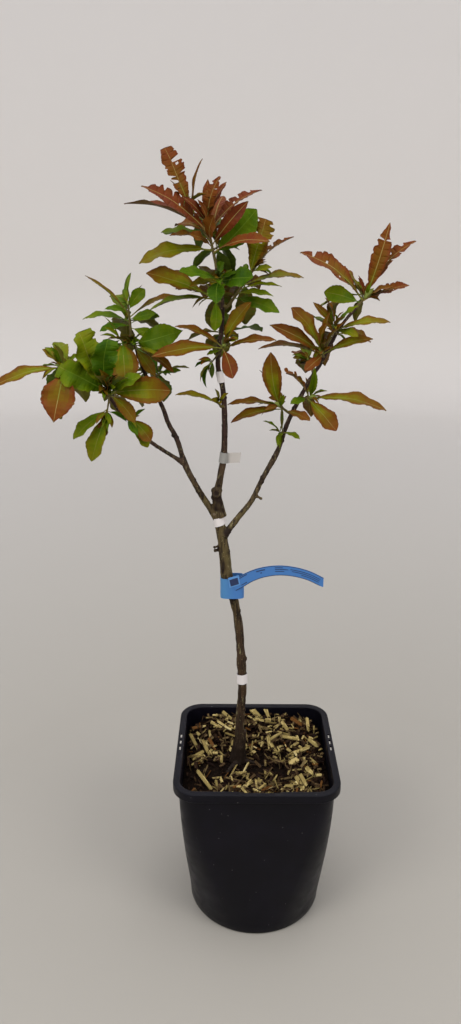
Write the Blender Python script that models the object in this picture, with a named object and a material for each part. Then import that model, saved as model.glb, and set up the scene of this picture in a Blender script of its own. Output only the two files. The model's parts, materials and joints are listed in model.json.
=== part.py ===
"""Potted medlar: a young grafted medlar with three boughs, in a square nursery pot of 5 litres.

Metres, +Z up. The origin is the middle of the pot's flat underside, the front looks along -Y
and +X is to the right. The named sizes below are in millimetres and degrees.
"""
import math
import random

import bmesh
import bpy
from mathutils import Matrix, Vector
from mathutils.bvhtree import BVHTree

MM = 0.001
GAP = 0.3

# Pot: square with round corners at the rim, nearly round at the foot
POT_HEIGHT = 210.5
RIM_HALF = 96.5
SKIRT_DEPTH = 10.0
SKIRT_WALL = 1.6
WALL_HALF = 90.0
WALL_CORNER = 22.0
FOOT_RADIUS = 82.0
FOOT_BEVEL = 3.0
POT_WALL = 2.0
POT_FLOOR = 2.5
WALL_LEVELS = (70.0, 130.0, 184.0)
DRAIN_HOLES = 6
DRAIN_RADIUS = 6.0
DRAIN_RING = 62.0

# Filling: moist potting soil, with a loose cover of straw chips round the stem
SOIL_TOP = 188.0
SOIL_SLOPE = [(0.9, -1.2), (0.62, -0.5)]
STEM_PAD = 13.0
MULCH_DEPTH = 3.5
MULCH_HEAP = 8.0
HEAP_FOOT = -10.0
HEAP_TOP = 75.0
MULCH_RINGS = [(0.0, 0.0), (1.0, 0.0), (1.0, 0.4), (0.72, 0.9), (0.4, 1.0), (0.0, 0.5)]
MULCH_CHIPS = 26
CHIP_REACH = 76.0
CHIP_ROUND = 92.0
CHIP_SPACING = 22.0
CHIP_LENGTHS = (11.0, 22.0)
CHIP_WIDTHS = (3.0, 6.0)
CHIP_DEPTHS = (2.2, 3.2)
CHIP_SINK = 0.6
STEM_CLEARING = 19.0
CHIP_CLEARING = 14.0

# Foot of the stem on the soil
STEM_X = -20.0
STEM_Y = -2.0
ROOT_FLARE = 3.6
ROOT_LOBES = 5

# Limbs: points the axis passes through, and the radius at shares of the length
TRUNK_AXIS = [
    (STEM_X, STEM_Y, SOIL_TOP + GAP), (-20, -2, 204), (-19.5, -1.5, 226), (-19, -1, 250),
    (-16.5, 0, 289), (-18, 1, 329), (-21, 2, 370), (-26, 1, 402), (-34, 0, 430), (-38, -1, 468),
    (-43, -2, 503), (-45, -3, 532), (-42, -2, 553), (-38, -1, 577), (-37, 2, 615),
    (-39, 3, 650), (-44, 3, 676), (-40.5, 2, 710), (-39, 1, 737), (-42, 0, 757), (-45, 0, 773),
]
TRUNK_GIRTH = [
    (0.0, 8.2), (0.02, 7.3), (0.06, 5.9), (0.1, 5.3), (0.2, 4.9), (0.23, 5.5), (0.26, 4.6),
    (0.31, 5.2), (0.34, 4.7), (0.38, 5.0), (0.41, 6.8), (0.46, 6.6), (0.5, 5.8), (0.56, 5.5),
    (0.58, 4.6), (0.62, 3.7), (0.75, 3.1), (0.88, 2.5), (1.0, 1.9),
]
RIGHT_AXIS = [
    (-20, 2, 508), (-7, 6, 524), (3, 10, 544), (10, 13, 557), (22, 17, 579), (33, 21, 611),
    (54, 24, 653), (67, 28, 673), (87, 34, 710), (105, 39.5, 732),
]
RIGHT_GIRTH = [(0.0, 3.9), (0.04, 3.1), (0.3, 2.8), (0.36, 3.2), (0.42, 2.6), (1.0, 1.8)]
LEFT_AXIS = [
    (-57, -6, 525), (-66, -9, 541), (-79, -12, 568), (-88, -8, 596), (-98, 0, 613),
    (-105, 6, 631), (-124, 16, 666), (-136, 20, 702),
]
LEFT_GIRTH = [(0.0, 4.4), (0.05, 3.6), (0.3, 3.2), (0.36, 3.6), (0.42, 2.7), (1.0, 1.8)]
LOW_AXIS = [
    (-92, -17, 580), (-103, -20, 588), (-117, -26, 600), (-129, -33, 617), (-143, -38, 631),
    (-157, -45, 653), (-176, -51.5, 667.5),
]
LOW_GIRTH = [(0.0, 2.8), (0.08, 2.1), (0.5, 1.9), (1.0, 1.5)]
RIGHT_HEIGHT = 488.0
LEFT_HEIGHT = 512.0
LOW_HEIGHT = 566.0
KNUCKLE_OUT = 2.5
KNUCKLE_ALONG = 1.2
LIMB_SIDES = 10
BOUGH_SIDES = 6

# Training ties and loop label on the trunk: heights of their middles
TIE_HEIGHTS = {"lower_tie": 304.0, "fork_tie": 503.0, "middle_tie": 575.0, "upper_tie": 662.0}
TIE_WIDTH = 12.0
FORK_TIE_WIDTH = 9.0
TIE_THICKNESS = 0.6
BAND_SIDES = 12
LABEL_HEIGHT = 423.5
LABEL_BAND = 24.0
LABEL_THICKNESS = 0.6
LABEL_HALF_X = 13.0
LABEL_HALF_Y = 9.5
LABEL_FORWARD = 1.0
LABEL_SIDES = 24
LABEL_LINE = [(-27.8, 427.6), (-18.9, 432.6), (-8.6, 438.8), (4.9, 444.0), (21.8, 446.6),
              (38.7, 445.5), (56.9, 440.7), (74.7, 431.8)]
LABEL_WIDTHS = (13.5, 10.5)

# Leaves: long ovals, folded a little along the midrib and bowed towards the tip. A leaf's width
# is a share of its length
LEAF_WIDTH = 0.36
LEAF_THICKNESS = 1.1
LEAF_FOLD = 0.28
LEAF_BOW = 0.07
LEAF_CLEAR = 0.6
BLADE_CLEAR = 0.4
LEAF_STATIONS = [(0.0, 0.06), (0.14, 0.08), (0.42, 0.9), (0.72, 0.9)]
BLADE_START = 0.34
TWIG_RADIUS = 1.5
TWIG_BEND = 3.0
BACK_SHARE = 4
BACK_LENGTHS = (46.0, 66.0)
BACK_LEANS = (-76.0, -34.0)
SEED = 23

# Masses of foliage. A direction is read from the front: a clock angle in degrees (0 up, 90 to
# the right) and a lean in degrees towards the viewer. A stem or a shoot is (clock, lean, length)
# and a leaf is (clock, lean, length, turn), where turn brings its upper face to the viewer; a
# fifth number is the width of a leaf that is not of the usual one.
# "at" is the height where the stem leaves its limb, None at the limb's tip, and "back" is the
# number of leaves that the seeded rule adds on the side away from the viewer.
MASSES = {
    "leader_tip_foliage": {
        "limb": "trunk", "at": None, "stem": (-12, 0, 50), "back": 9,
        "leaves": [(45, 8, 61, 80, 0.46), (77, 38, 70, 30), (-99, 8, 76, 32, 0.34), (-60, 45, 34, 40),
                   (41, 14, 58, 72), (10, 55, 44, 50), (-82, 12, 42, 25), (-84, -18, 54, 30),
                   (-54, 20, 83, 42), (50, -14, 70, 25), (-70, -5, 90, 12),
                   (13, 5, 50, 60, 0.42), (-20, 30, 30, 50), (-42, 30, 38, 60), (24, -12, 44, 20),
                   (2, -25, 40, 30)],
        "shoots": [(0.62, (-35, 5, 46), [(-40, -8, 50, 20), (6, -8, 57, 5), (-22, 5, 64, 60, 0.34),
                                         (62, 30, 27, 10)])],
    },
    "leader_front_foliage": {
        "limb": "trunk", "at": 757.0, "stem": (-5, 60, 15), "back": 0,
        "leaves": [(-95, 35, 36, 40), (81, 40, 44, 60, 0.48), (-174, 50, 32, 80, 0.6),
                   (-79, 30, 46, 40), (20, 55, 30, 50)],
        "shoots": [],
    },
    "leader_left_foliage": {
        "limb": "trunk", "at": 740.0, "stem": (-50, 8, 13), "back": 2,
        "leaves": [(180, 30, 34, 60), (-97, 10, 67, 18), (-84, -12, 40, 15), (-68, 5, 69, 40)],
        "shoots": [],
    },
    "leader_right_foliage": {
        "limb": "trunk", "at": 735.0, "stem": (36, 8, 50), "back": 4,
        "leaves": [(106, 15, 50, 38), (92, 30, 42, 40), (93, 16, 44, 25), (80, -8, 64, 18),
                   (47, 0, 64, 20), (16, 5, 57, 60, 0.44), (66, 35, 24, 40)],
        "shoots": [],
    },
    "leader_back_foliage": {
        "limb": "trunk", "at": 750.0, "stem": (10, -60, 18), "back": 8, "leaves": [], "shoots": [],
    },
    "leader_spur_foliage": {
        "limb": "trunk", "at": 690.0, "stem": (30, 50, 14), "back": 0,
        "leaves": [(-105, 30, 18, 30), (168, 15, 28, 60), (77, 5, 57, 22), (159, 34, 37, 80, 0.44),
                   (-95, 12, 75, 42), (-64, 5, 54, 30), (31, 10, 54, 70, 0.31), (50, 45, 24, 30)],
        "shoots": [(0.3, (-140, 15, 16), [(-158, 5, 30, 25)])],
    },
    "leader_low_foliage": {
        "limb": "trunk", "at": 631.0, "stem": (-30, 40, 12), "back": 0,
        "leaves": [(-74, 10, 48, 25)],
        "shoots": [],
    },
    "leader_low_back_foliage": {
        "limb": "trunk", "at": 700.0, "stem": (15, -60, 16), "back": 8, "leaves": [], "shoots": [],
    },
    "left_high_tip_foliage": {
        "limb": "left_bough", "at": None, "stem": (-4, 0, 34), "back": 5,
        "leaves": [(108, 20, 40, 40), (-98, 25, 34, 30), (78, 12, 34, 30), (-84, 5, 50, 28),
                   (90, 12, 32, 60), (65, 0, 57, 14), (-50, 0, 60, 12), (-70, 20, 26, 50),
                   (40, 12, 30, 70, 0.48), (-6, 0, 26, 10), (37, -5, 27, 5)],
        "shoots": [],
    },
    "left_high_foliage": {
        "limb": "left_bough", "at": 690.0, "stem": (-12, 58, 15), "back": 0,
        "leaves": [(140, 25, 40, 40), (121, 5, 50, 30), (103, 25, 42, 45), (74, 10, 56, 75, 0.4)],
        "shoots": [(0.7, (-62, 15, 18), [(-120, 25, 36, 50), (172, 38, 56, 88, 0.48),
                                         (-48, 5, 28, 10)])],
    },
    "left_back_foliage": {
        "limb": "left_bough", "at": 655.0, "stem": (15, -60, 18), "back": 6, "leaves": [], "shoots": [],
    },
    "left_low_foliage": {
        "limb": "left_low_bough", "at": 649.0, "stem": (0, 50, 14), "back": 0,
        "leaves": [(132, 25, 40, 45), (84, 18, 67, 78, 0.4), (60, 25, 44, 50), (-55, 20, 54, 65, 0.46),
                   (3, 20, 54, 75, 0.44), (-22, 8, 63, 70, 0.4)],
        "shoots": [(0.5, (-172, 25, 20), [(190, 15, 34, 40), (-129, 15, 46, 42), (-168, 8, 53, 60, 0.4)])],
    },
    "left_low_back_foliage": {
        "limb": "left_low_bough", "at": 642.0, "stem": (0, -60, 15), "back": 6, "leaves": [], "shoots": [],
    },
    "left_under_foliage": {
        "limb": "left_low_bough", "at": 627.0, "stem": (115, 30, 10), "back": 0,
        "leaves": [(140, 45, 26, 40), (136, 10, 32, 60, 0.5), (150, 12, 34, 60)],
        "shoots": [],
    },
    "left_outer_foliage": {
        "limb": "left_low_bough", "at": None, "stem": (-61, 12, 27), "back": 4,
        "leaves": [(-51, 0, 40, 35), (50, 25, 34, 50), (-164, -25, 62, 30), (-171, 38, 58, 86, 0.5),
                   (-104, 10, 70, 30)],
        "shoots": [],
    },
    "right_foot_foliage": {
        "limb": "right_bough", "at": 598.0, "stem": (-110, 45, 5), "back": 0,
        "leaves": [(100, 35, 24, 15), (-52, 10, 25, 20), (14, 20, 14, 30)],
        "shoots": [],
    },
    "right_low_foliage": {
        "limb": "right_bough", "at": 619.0, "stem": (-50, 25, 18), "back": 2,
        "leaves": [(106, 40, 34, 35), (-101, 10, 60, 34), (-85, 5, 60, 12), (-11, 16, 62, 88)],
        "shoots": [],
    },
    "right_mid_foliage": {
        "limb": "right_bough", "at": 638.0, "stem": (70, 35, 12), "back": 2,
        "leaves": [(-97, 50, 28, 40), (136, 25, 49, 60, 0.42), (95, 5, 86, 20), (-49, 25, 47, 30),
                   (3, 30, 38, 75, 0.4)],
        "shoots": [],
    },
    "right_high_foliage": {
        "limb": "right_bough", "at": 680.0, "stem": (-25, 55, 13), "back": 0,
        "leaves": [(-122, 45, 34, 35), (70, 5, 56, 32), (-82, 8, 70, 16), (-61, 5, 65, 50, 0.4),
                   (34, 10, 44, 30), (-35, 0, 58, 38), (9, 5, 44, 35), (-12, 25, 38, 45)],
        "shoots": [],
    },
    "right_back_foliage": {
        "limb": "right_bough", "at": 664.0, "stem": (5, -60, 18), "back": 6, "leaves": [], "shoots": [],
    },
    "right_upper_foliage": {
        "limb": "right_bough", "at": 704.0, "stem": (-20, 50, 14), "back": 0,
        "leaves": [(98, 40, 30, 40), (77, 12, 59, 24), (-26, 12, 36, 35), (-40, -5, 36, 58),
                   (45, 10, 34, 20)],
        "shoots": [],
    },
    "right_upper_back_foliage": {
        "limb": "right_bough", "at": 700.0, "stem": (20, -60, 14), "back": 5, "leaves": [], "shoots": [],
    },
    "right_tip_foliage": {
        "limb": "right_bough", "at": None, "stem": (42, 0, 15), "back": 4,
        "leaves": [(-74, 8, 42, 70, 0.44), (70, 5, 53, 28), (62, 20, 36, 18), (-53, 5, 85, 34, 0.4),
                   (40, 0, 79, 34), (-25, 20, 24, 50), (16, 0, 79, 74, 0.34)],
        "shoots": [],
    },
}

# Small changes of clock and lean that are tried, in this order, on a leaf that would touch
NUDGES = [(0, 0), (8, 0), (-8, 0), (0, 10), (0, -10), (14, 8), (-14, 8), (14, -8), (-14, -8),
          (22, 0), (-22, 0), (0, 20), (0, -20)]


def material(name, srgb_hex, roughness):
    """A Principled material from an sRGB hex colour."""
    channels = [int(srgb_hex[i:i + 2], 16) / 255.0 for i in (1, 3, 5)]
    linear = [c / 12.92 if c <= 0.04045 else ((c + 0.055) / 1.055) ** 2.4 for c in channels]
    made = bpy.data.materials.new(name)
    made.use_nodes = True
    shader = made.node_tree.nodes["Principled BSDF"]
    shader.inputs["Base Color"].default_value = (*linear, 1.0)
    shader.inputs["Roughness"].default_value = roughness
    made.diffuse_color = (*linear, 1.0)
    return made


def mesh_object(name, points, faces, finish=None):
    """An object from points in millimetres and their faces."""
    mesh = bpy.data.meshes.new(name)
    mesh.from_pydata([Vector(p) * MM for p in points], [], faces)
    mesh.update()
    made = bpy.data.objects.new(name, mesh)
    if finish:
        mesh.materials.append(finish)
    bpy.context.scene.collection.objects.link(made)
    return made


def bridge(rings, crossed=False):
    """Triangles that join closed rings of equal length. crossed splits each cell the other way."""
    faces = []
    for lower, upper in zip(rings, rings[1:]):
        count = len(lower)
        for i in range(count):
            j = (i + 1) % count
            if crossed:
                faces += [(lower[i], lower[j], upper[i]), (lower[j], upper[j], upper[i])]
            else:
                faces += [(lower[i], lower[j], upper[j]), (lower[i], upper[j], upper[i])]
    return faces


def spline(points, steps):
    """Points along a Catmull-Rom curve through the given ones, steps for each span."""
    knots = [Vector(p) for p in points]
    knots = [2 * knots[0] - knots[1]] + knots + [2 * knots[-1] - knots[-2]]
    curve = []
    for a, b, c, d in zip(knots, knots[1:], knots[2:], knots[3:]):
        for i in range(steps):
            t = i / steps
            curve.append(0.5 * (2 * b + (c - a) * t + (2 * a - 5 * b + 4 * c - d) * t * t
                                + (3 * b - a - 3 * c + d) * t ** 3))
    curve.append(knots[-2])
    return curve


def shares(path):
    """How far along the path each of its points lies, from 0 to 1."""
    along = [0.0]
    for a, b in zip(path, path[1:]):
        along.append(along[-1] + (b - a).length)
    return [s / along[-1] for s in along]


def girth_at(girth, share):
    """The radius at a share of the length, eased between the listed ones."""
    for (s0, r0), (s1, r1) in zip(girth, girth[1:]):
        if share <= s1:
            t = (share - s0) / (s1 - s0)
            return r0 + (r1 - r0) * t * t * (3 - 2 * t)
    return girth[-1][1]


def tangents(path, first=None):
    """The direction of the path at each point. The first may be given."""
    ways = [(path[1] - path[0]).normalized()]
    for a, b in zip(path, path[2:]):
        ways.append((b - a).normalized())
    ways.append((path[-1] - path[-2]).normalized())
    if first:
        ways[0] = first
    return ways


def tube(path, radii, sides, first=None, swell=None):
    """Points and faces of a closed tapering tube. swell(number, angle) widens a ring."""
    ways = tangents(path, first)
    across = ways[0].orthogonal() if abs(ways[0].x) > 0.9 else Vector((1, 0, 0))
    points, rings = [], []
    for number, (centre, way, radius) in enumerate(zip(path, ways, radii)):
        across = (across - across.dot(way) * way).normalized()
        over = way.cross(across)
        ring = []
        for i in range(sides):
            angle = math.tau * i / sides
            reach = radius * (swell(number, angle) if swell else 1.0)
            ring.append(len(points))
            points.append(centre + reach * (math.cos(angle) * across + math.sin(angle) * over))
        rings.append(ring)
    return points, [tuple(reversed(rings[0]))] + bridge(rings) + [tuple(rings[-1])]


def heading(clock, lean):
    """The unit vector of a direction that is read from the front."""
    c, s = math.radians(clock), math.radians(lean)
    return Vector((math.sin(c) * math.cos(s), -math.sin(s), math.cos(c) * math.cos(s)))


def pot_ring(height, outset, level):
    """One ring of the pot: a circle at the foot that turns into a square with round corners."""
    share = min(max(height / POT_HEIGHT, 0.0), 1.0)
    square = (share * share * (3 - 2 * share)) ** 0.6
    ring = []
    for quarter in range(4):
        turn = Matrix.Rotation(math.radians(90 * quarter), 2)
        for step in range(9):
            angle = math.radians(10 * step)
            straight = WALL_HALF - WALL_CORNER
            arc = math.radians(min(max(step - 2, 0), 5) * 18)
            flat = Vector((WALL_HALF, straight * 0.55 * min(step, 1)))
            if step == 8:
                flat = Vector((straight * 0.55, WALL_HALF))
            if 2 <= step <= 7:
                flat = Vector((straight + WALL_CORNER * math.cos(arc),
                               straight + WALL_CORNER * math.sin(arc)))
            outward = Vector((math.cos(arc), math.sin(arc)))
            round_way = Vector((math.cos(angle), math.sin(angle)))
            spot = (flat + outset * outward) * square + round_way * (FOOT_RADIUS + outset) * (1 - square)
            ring.append((*(turn @ spot), level))
    return ring


def stack(levels):
    """Points of a shell through (height, outset) levels, and the numbers of each ring's points."""
    points, rings = [], []
    for height, outset in levels:
        ring = pot_ring(height, outset, height)
        rings.append(list(range(len(points), len(points) + len(ring))))
        points += ring
    return points, rings


def make_pot(finish):
    """The pot: floor, tapering wall, flange and downturned skirt, with drain holes."""
    skirt_out = RIM_HALF - WALL_HALF
    skirt_in = skirt_out - SKIRT_WALL
    top = POT_HEIGHT
    flange = top - POT_WALL
    levels = [(0.0, -FOOT_BEVEL), (FOOT_BEVEL, 0.0)]
    levels += [(level, 0.0) for level in WALL_LEVELS]
    levels += [(flange, 0.0), (flange, skirt_in), (top - SKIRT_DEPTH, skirt_in),
               (top - SKIRT_DEPTH, skirt_out), (top - 1.5, skirt_out), (top, skirt_out - 1.5),
               (top, -POT_WALL + 1.0), (top - 2.0, -POT_WALL)]
    levels += [(level, -POT_WALL) for level in reversed(WALL_LEVELS)]
    levels += [(POT_FLOOR, -POT_WALL - 1.0)]
    points, rings = stack(levels)
    faces = [tuple(reversed(rings[0]))] + bridge(rings) + [tuple(rings[-1])]
    pot = mesh_object("pot", points, faces, finish)
    drills = bpy.data.collections.new("drain_drills")
    bpy.context.scene.collection.children.link(drills)
    for i in range(DRAIN_HOLES):
        angle = math.tau * (i + 0.5) / DRAIN_HOLES
        centre = Vector((math.cos(angle), math.sin(angle), 0)) * DRAIN_RING
        path = [centre + Vector((0, 0, -2)), centre + Vector((0, 0, POT_FLOOR + 2))]
        drill = mesh_object(f"drain_drill_{i}", *tube(path, [DRAIN_RADIUS] * 2, 8))
        bpy.context.scene.collection.objects.unlink(drill)
        drills.objects.link(drill)
    join(pot, drills, "DIFFERENCE")
    return pot


def make_soil(finish):
    """The block of soil that fills the pot, a gap clear of its wall and floor."""
    inset = -POT_WALL - GAP
    levels = [(POT_FLOOR + GAP, inset - 1.2)] + [(level, inset) for level in WALL_LEVELS]
    points, rings = stack(levels)
    for share, rise in SOIL_SLOPE:
        ring = [(x * share, y * share, SOIL_TOP + rise) for x, y, _ in pot_ring(SOIL_TOP, inset, 0)]
        rings.append(list(range(len(points), len(points) + len(ring))))
        points += ring
    # A flat round place for the foot of the stem
    pad = []
    for i in range(len(rings[0])):
        angle = math.tau * i / len(rings[0])
        pad.append((STEM_X + STEM_PAD * math.cos(angle), STEM_Y + STEM_PAD * math.sin(angle), SOIL_TOP))
    rings.append(list(range(len(points), len(points) + len(pad))))
    points += pad
    # Its cells split as the pot's inner wall does, which runs downwards, so the gap stays even
    faces = [tuple(reversed(rings[0]))] + bridge(rings, crossed=True) + [tuple(rings[-1])]
    return mesh_object("potting_soil", points, faces, finish)


def mulch_depth(y):
    """How thick the straw lies: a thin cover in front that heaps up towards the rear rim."""
    t = min(max((y - HEAP_FOOT) / (HEAP_TOP - HEAP_FOOT), 0.0), 1.0)
    return MULCH_DEPTH + MULCH_HEAP * t * t * (3 - 2 * t)


def make_mulch(finish):
    """An uneven layer of straw with loose chips on it, open round the stem."""
    rng = random.Random(SEED)
    base = SOIL_TOP + GAP
    edge = pot_ring(base, -POT_WALL - GAP - 2.0, 0)
    points, rings = [], []
    for share, level in MULCH_RINGS:
        rings.append(list(range(len(points), len(points) + len(edge))))
        for i, (x, y, _) in enumerate(edge):
            angle = math.tau * i / len(edge)
            inner = Vector((STEM_X + STEM_CLEARING * math.cos(angle),
                            STEM_Y + STEM_CLEARING * math.sin(angle)))
            spot = inner.lerp(Vector((x, y)), share)
            points.append((spot.x, spot.y, base + mulch_depth(spot.y) * level))
    mulch = mesh_object("straw_mulch", points, bridge(rings + [rings[0]]), finish)
    chips = bpy.data.collections.new("mulch_chips")
    bpy.context.scene.collection.children.link(chips)
    placed = []
    while len(placed) < MULCH_CHIPS:
        spot = Vector((rng.uniform(-CHIP_REACH, CHIP_REACH), rng.uniform(-CHIP_REACH, CHIP_REACH), 0.0))
        spot.z = base + mulch_depth(spot.y) + CHIP_SINK
        from_stem = (spot.xy - Vector((STEM_X, STEM_Y))).length
        if from_stem < STEM_CLEARING + CHIP_CLEARING or spot.xy.length > CHIP_ROUND:
            continue
        if any((spot - other).length < CHIP_SPACING for other in placed):
            continue
        placed.append(spot)
        size = Vector((rng.uniform(*CHIP_LENGTHS), rng.uniform(*CHIP_WIDTHS), rng.uniform(*CHIP_DEPTHS)))
        turn = Matrix.Rotation(rng.uniform(0, math.tau), 3, "Z") @ Matrix.Rotation(rng.uniform(-0.2, 0.2), 3, "Y")
        corners = [spot + turn @ Vector((x * size.x, y * size.y, z * size.z)) / 2
                   for z in (-1, 1) for x, y in ((-1, -1), (1, -1), (1, 1), (-1, 1))]
        faces = [(3, 2, 1, 0), (4, 5, 6, 7), (0, 1, 5, 4), (1, 2, 6, 5), (2, 3, 7, 6), (3, 0, 4, 7)]
        chip = mesh_object(f"chip_{len(placed)}", corners, faces)
        bpy.context.scene.collection.objects.unlink(chip)
        chips.objects.link(chip)
    join(mulch, chips, "UNION")
    return mulch


def join(target, tools, operation):
    """Apply one Boolean with every object of a collection, then remove the collection."""
    boolean = target.modifiers.new("join", "BOOLEAN")
    boolean.operation = operation
    boolean.operand_type = "COLLECTION"
    boolean.collection = tools
    boolean.solver = "EXACT"
    evaluated = target.evaluated_get(bpy.context.evaluated_depsgraph_get())
    result = bpy.data.meshes.new_from_object(evaluated)
    target.modifiers.clear()
    old = target.data
    target.data = result
    bpy.data.meshes.remove(old)
    for tool in list(tools.objects):
        bpy.data.objects.remove(tool)
    bpy.data.collections.remove(tools)
    keep_outer_shell(result)


def keep_outer_shell(mesh):
    """Weld the mesh and keep its largest shell, so no sealed hollow or loose scrap is left."""
    bm = bmesh.new()
    bm.from_mesh(mesh)
    bmesh.ops.remove_doubles(bm, verts=bm.verts, dist=0.004 * MM)
    bmesh.ops.dissolve_degenerate(bm, edges=bm.edges, dist=0.004 * MM)
    bmesh.ops.triangulate(bm, faces=bm.faces)
    shells, seen = [], set()
    for start in bm.faces:
        if start in seen:
            continue
        shell, queue = [], [start]
        seen.add(start)
        while queue:
            face = queue.pop()
            shell.append(face)
            for edge in face.edges:
                for other in edge.link_faces:
                    if other not in seen:
                        seen.add(other)
                        queue.append(other)
        shells.append(shell)
    shells.sort(key=len)
    for shell in shells[:-1]:
        bmesh.ops.delete(bm, geom=shell, context="FACES")
    loose = [v for v in bm.verts if not v.link_faces]
    bmesh.ops.delete(bm, geom=loose, context="VERTS")
    bm.to_mesh(mesh)
    bm.free()


class Limb:
    """A tapering limb: its axis, its radii and where things leave it."""

    def __init__(self, name, points, girth, sides, first=None, swell=None):
        self.name = name
        self.path = spline(points, 2)
        self.radii = [girth_at(girth, s) for s in shares(self.path)]
        self.ways = tangents(self.path, first)
        self.solid = tube(self.path, self.radii, sides, first, swell)

    def station(self, height):
        """Number of the axis point nearest to a height, and its share to the next one."""
        for i, (a, b) in enumerate(zip(self.path, self.path[1:])):
            if a.z <= height <= b.z:
                return i, (height - a.z) / (b.z - a.z)
        return len(self.path) - 2, 1.0

    def leave(self, height, way):
        """Where something leaves the limb's side, a gap clear, and the direction straight out."""
        i, t = self.station(height)
        centre = self.path[i].lerp(self.path[i + 1], t)
        along = (self.path[i + 1] - self.path[i]).normalized()
        out = (way - way.dot(along) * along).normalized()
        radius = max(self.radii[i], self.radii[i + 1])
        return centre + out * (radius + GAP), out

    def leave_tip(self):
        """Where something carries the tip on, a gap clear, and its direction."""
        return self.path[-1] + self.ways[-1] * GAP, self.ways[-1]


def root_lobes(number, angle):
    """Root flare: rounded lobes that fade out within the lowest few rings."""
    fade = max(0.0, 1.0 - number / ROOT_FLARE)
    return 1.0 + 0.22 * fade * fade * (1.0 + math.cos(ROOT_LOBES * angle + 0.9))


def make_limbs():
    """The trunk and its three boughs, each one tapering limb."""
    trunk = Limb("trunk", TRUNK_AXIS, TRUNK_GIRTH, LIMB_SIDES, Vector((0, 0, 1)), root_lobes)
    limbs = {"trunk": trunk}
    boughs = [("right_bough", "trunk", RIGHT_HEIGHT, RIGHT_AXIS, RIGHT_GIRTH),
              ("left_bough", "trunk", LEFT_HEIGHT, LEFT_AXIS, LEFT_GIRTH),
              ("left_low_bough", "left_bough", LOW_HEIGHT, LOW_AXIS, LOW_GIRTH)]
    for name, carrier, height, axis, girth in boughs:
        i, _ = limbs[carrier].station(height)
        way = (Vector(axis[0]) - limbs[carrier].path[i]).normalized()
        start, out = limbs[carrier].leave(height, way)
        knuckle = start + KNUCKLE_OUT * out + KNUCKLE_ALONG * way
        limbs[name] = Limb(name, [start, knuckle] + axis, girth, BOUGH_SIDES, out)
    return limbs


def ring_band(limb, height, width, clear, thickness):
    """Points and faces of a band round a limb, clear of its surface."""
    i, t = limb.station(height)
    centre = limb.path[i].lerp(limb.path[i + 1], t)
    way = (limb.path[i + 1] - limb.path[i]).normalized()
    across = (Vector((1, 0, 0)) - way.x * way).normalized()
    over = way.cross(across)
    ends = [limb.station(height - width / 2), limb.station(height + width / 2)]
    radius = max(limb.radii[j] for j in range(ends[0][0], ends[1][0] + 2))
    inner = (radius + clear) / math.cos(math.pi / BAND_SIDES)
    points, rings = [], []
    for reach, rise in ((inner, -1), (inner + thickness, -1), (inner + thickness, 1), (inner, 1)):
        ring = []
        for k in range(BAND_SIDES):
            angle = math.tau * k / BAND_SIDES
            ring.append(len(points))
            points.append(centre + way * rise * width / 2
                          + reach * (math.cos(angle) * across + math.sin(angle) * over))
        rings.append(ring)
    return points, bridge(rings + [rings[0]])


def make_ties(trunk, finish):
    """Four snug bands of white training tape."""
    ties = []
    for name, height in TIE_HEIGHTS.items():
        width = FORK_TIE_WIDTH if name == "fork_tie" else TIE_WIDTH
        ties.append(mesh_object(name, *ring_band(trunk, height, width, GAP, TIE_THICKNESS), finish))
    return ties


def make_label(trunk, finish):
    """The loop label: a flattened band round the stem and a strip that arches out to the right."""
    i, t = trunk.station(LABEL_HEIGHT + LABEL_BAND / 2)
    left = trunk.path[i].lerp(trunk.path[i + 1], t).x - max(trunk.radii[i:i + 2]) - GAP
    i, t = trunk.station(LABEL_HEIGHT)
    centre = trunk.path[i].lerp(trunk.path[i + 1], t)
    middle = Vector((left + LABEL_HALF_X, centre.y - LABEL_FORWARD, LABEL_HEIGHT))
    points, rings = [], []
    for more, rise in ((0, -1), (LABEL_THICKNESS, -1), (LABEL_THICKNESS, 1), (0, 1)):
        ring = []
        for k in range(LABEL_SIDES):
            angle = math.tau * k / LABEL_SIDES
            c, s = math.cos(angle), math.sin(angle)
            # The roots make the oval nearly a rectangle, as a folded strip of card is
            out = Vector((math.copysign(abs(c) ** 0.5, c) * (LABEL_HALF_X + more),
                          math.copysign(abs(s) ** 0.5, s) * (LABEL_HALF_Y + more), rise * LABEL_BAND / 2))
            ring.append(len(points))
            points.append(middle + out)
        rings.append(ring)
    band = mesh_object("loop_label", points, bridge(rings + [rings[0]]), finish)
    face = middle.y - LABEL_HALF_Y - LABEL_THICKNESS
    line = spline([(x, face, z) for x, z in LABEL_LINE], 2)
    points, rings = [], []
    for spot, way, share in zip(line, tangents(line), shares(line)):
        over = Vector((0, 0, 1)) if share == 1.0 else way.cross(Vector((0, 1, 0)))
        half = (LABEL_WIDTHS[0] + (LABEL_WIDTHS[1] - LABEL_WIDTHS[0]) * share) / 2
        ring = []
        for out, back in ((-1, -1), (-1, 1), (1, 1), (1, -1)):
            ring.append(len(points))
            points.append(spot + over * half * out + Vector((0, back * LABEL_THICKNESS * 0.6, 0)))
        rings.append(ring)
    strips = bpy.data.collections.new("label_strip")
    bpy.context.scene.collection.children.link(strips)
    strip = mesh_object("strip", points, [tuple(reversed(rings[0]))] + bridge(rings) + [tuple(rings[-1])])
    bpy.context.scene.collection.objects.unlink(strip)
    strips.objects.link(strip)
    join(band, strips, "UNION")
    return band


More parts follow.
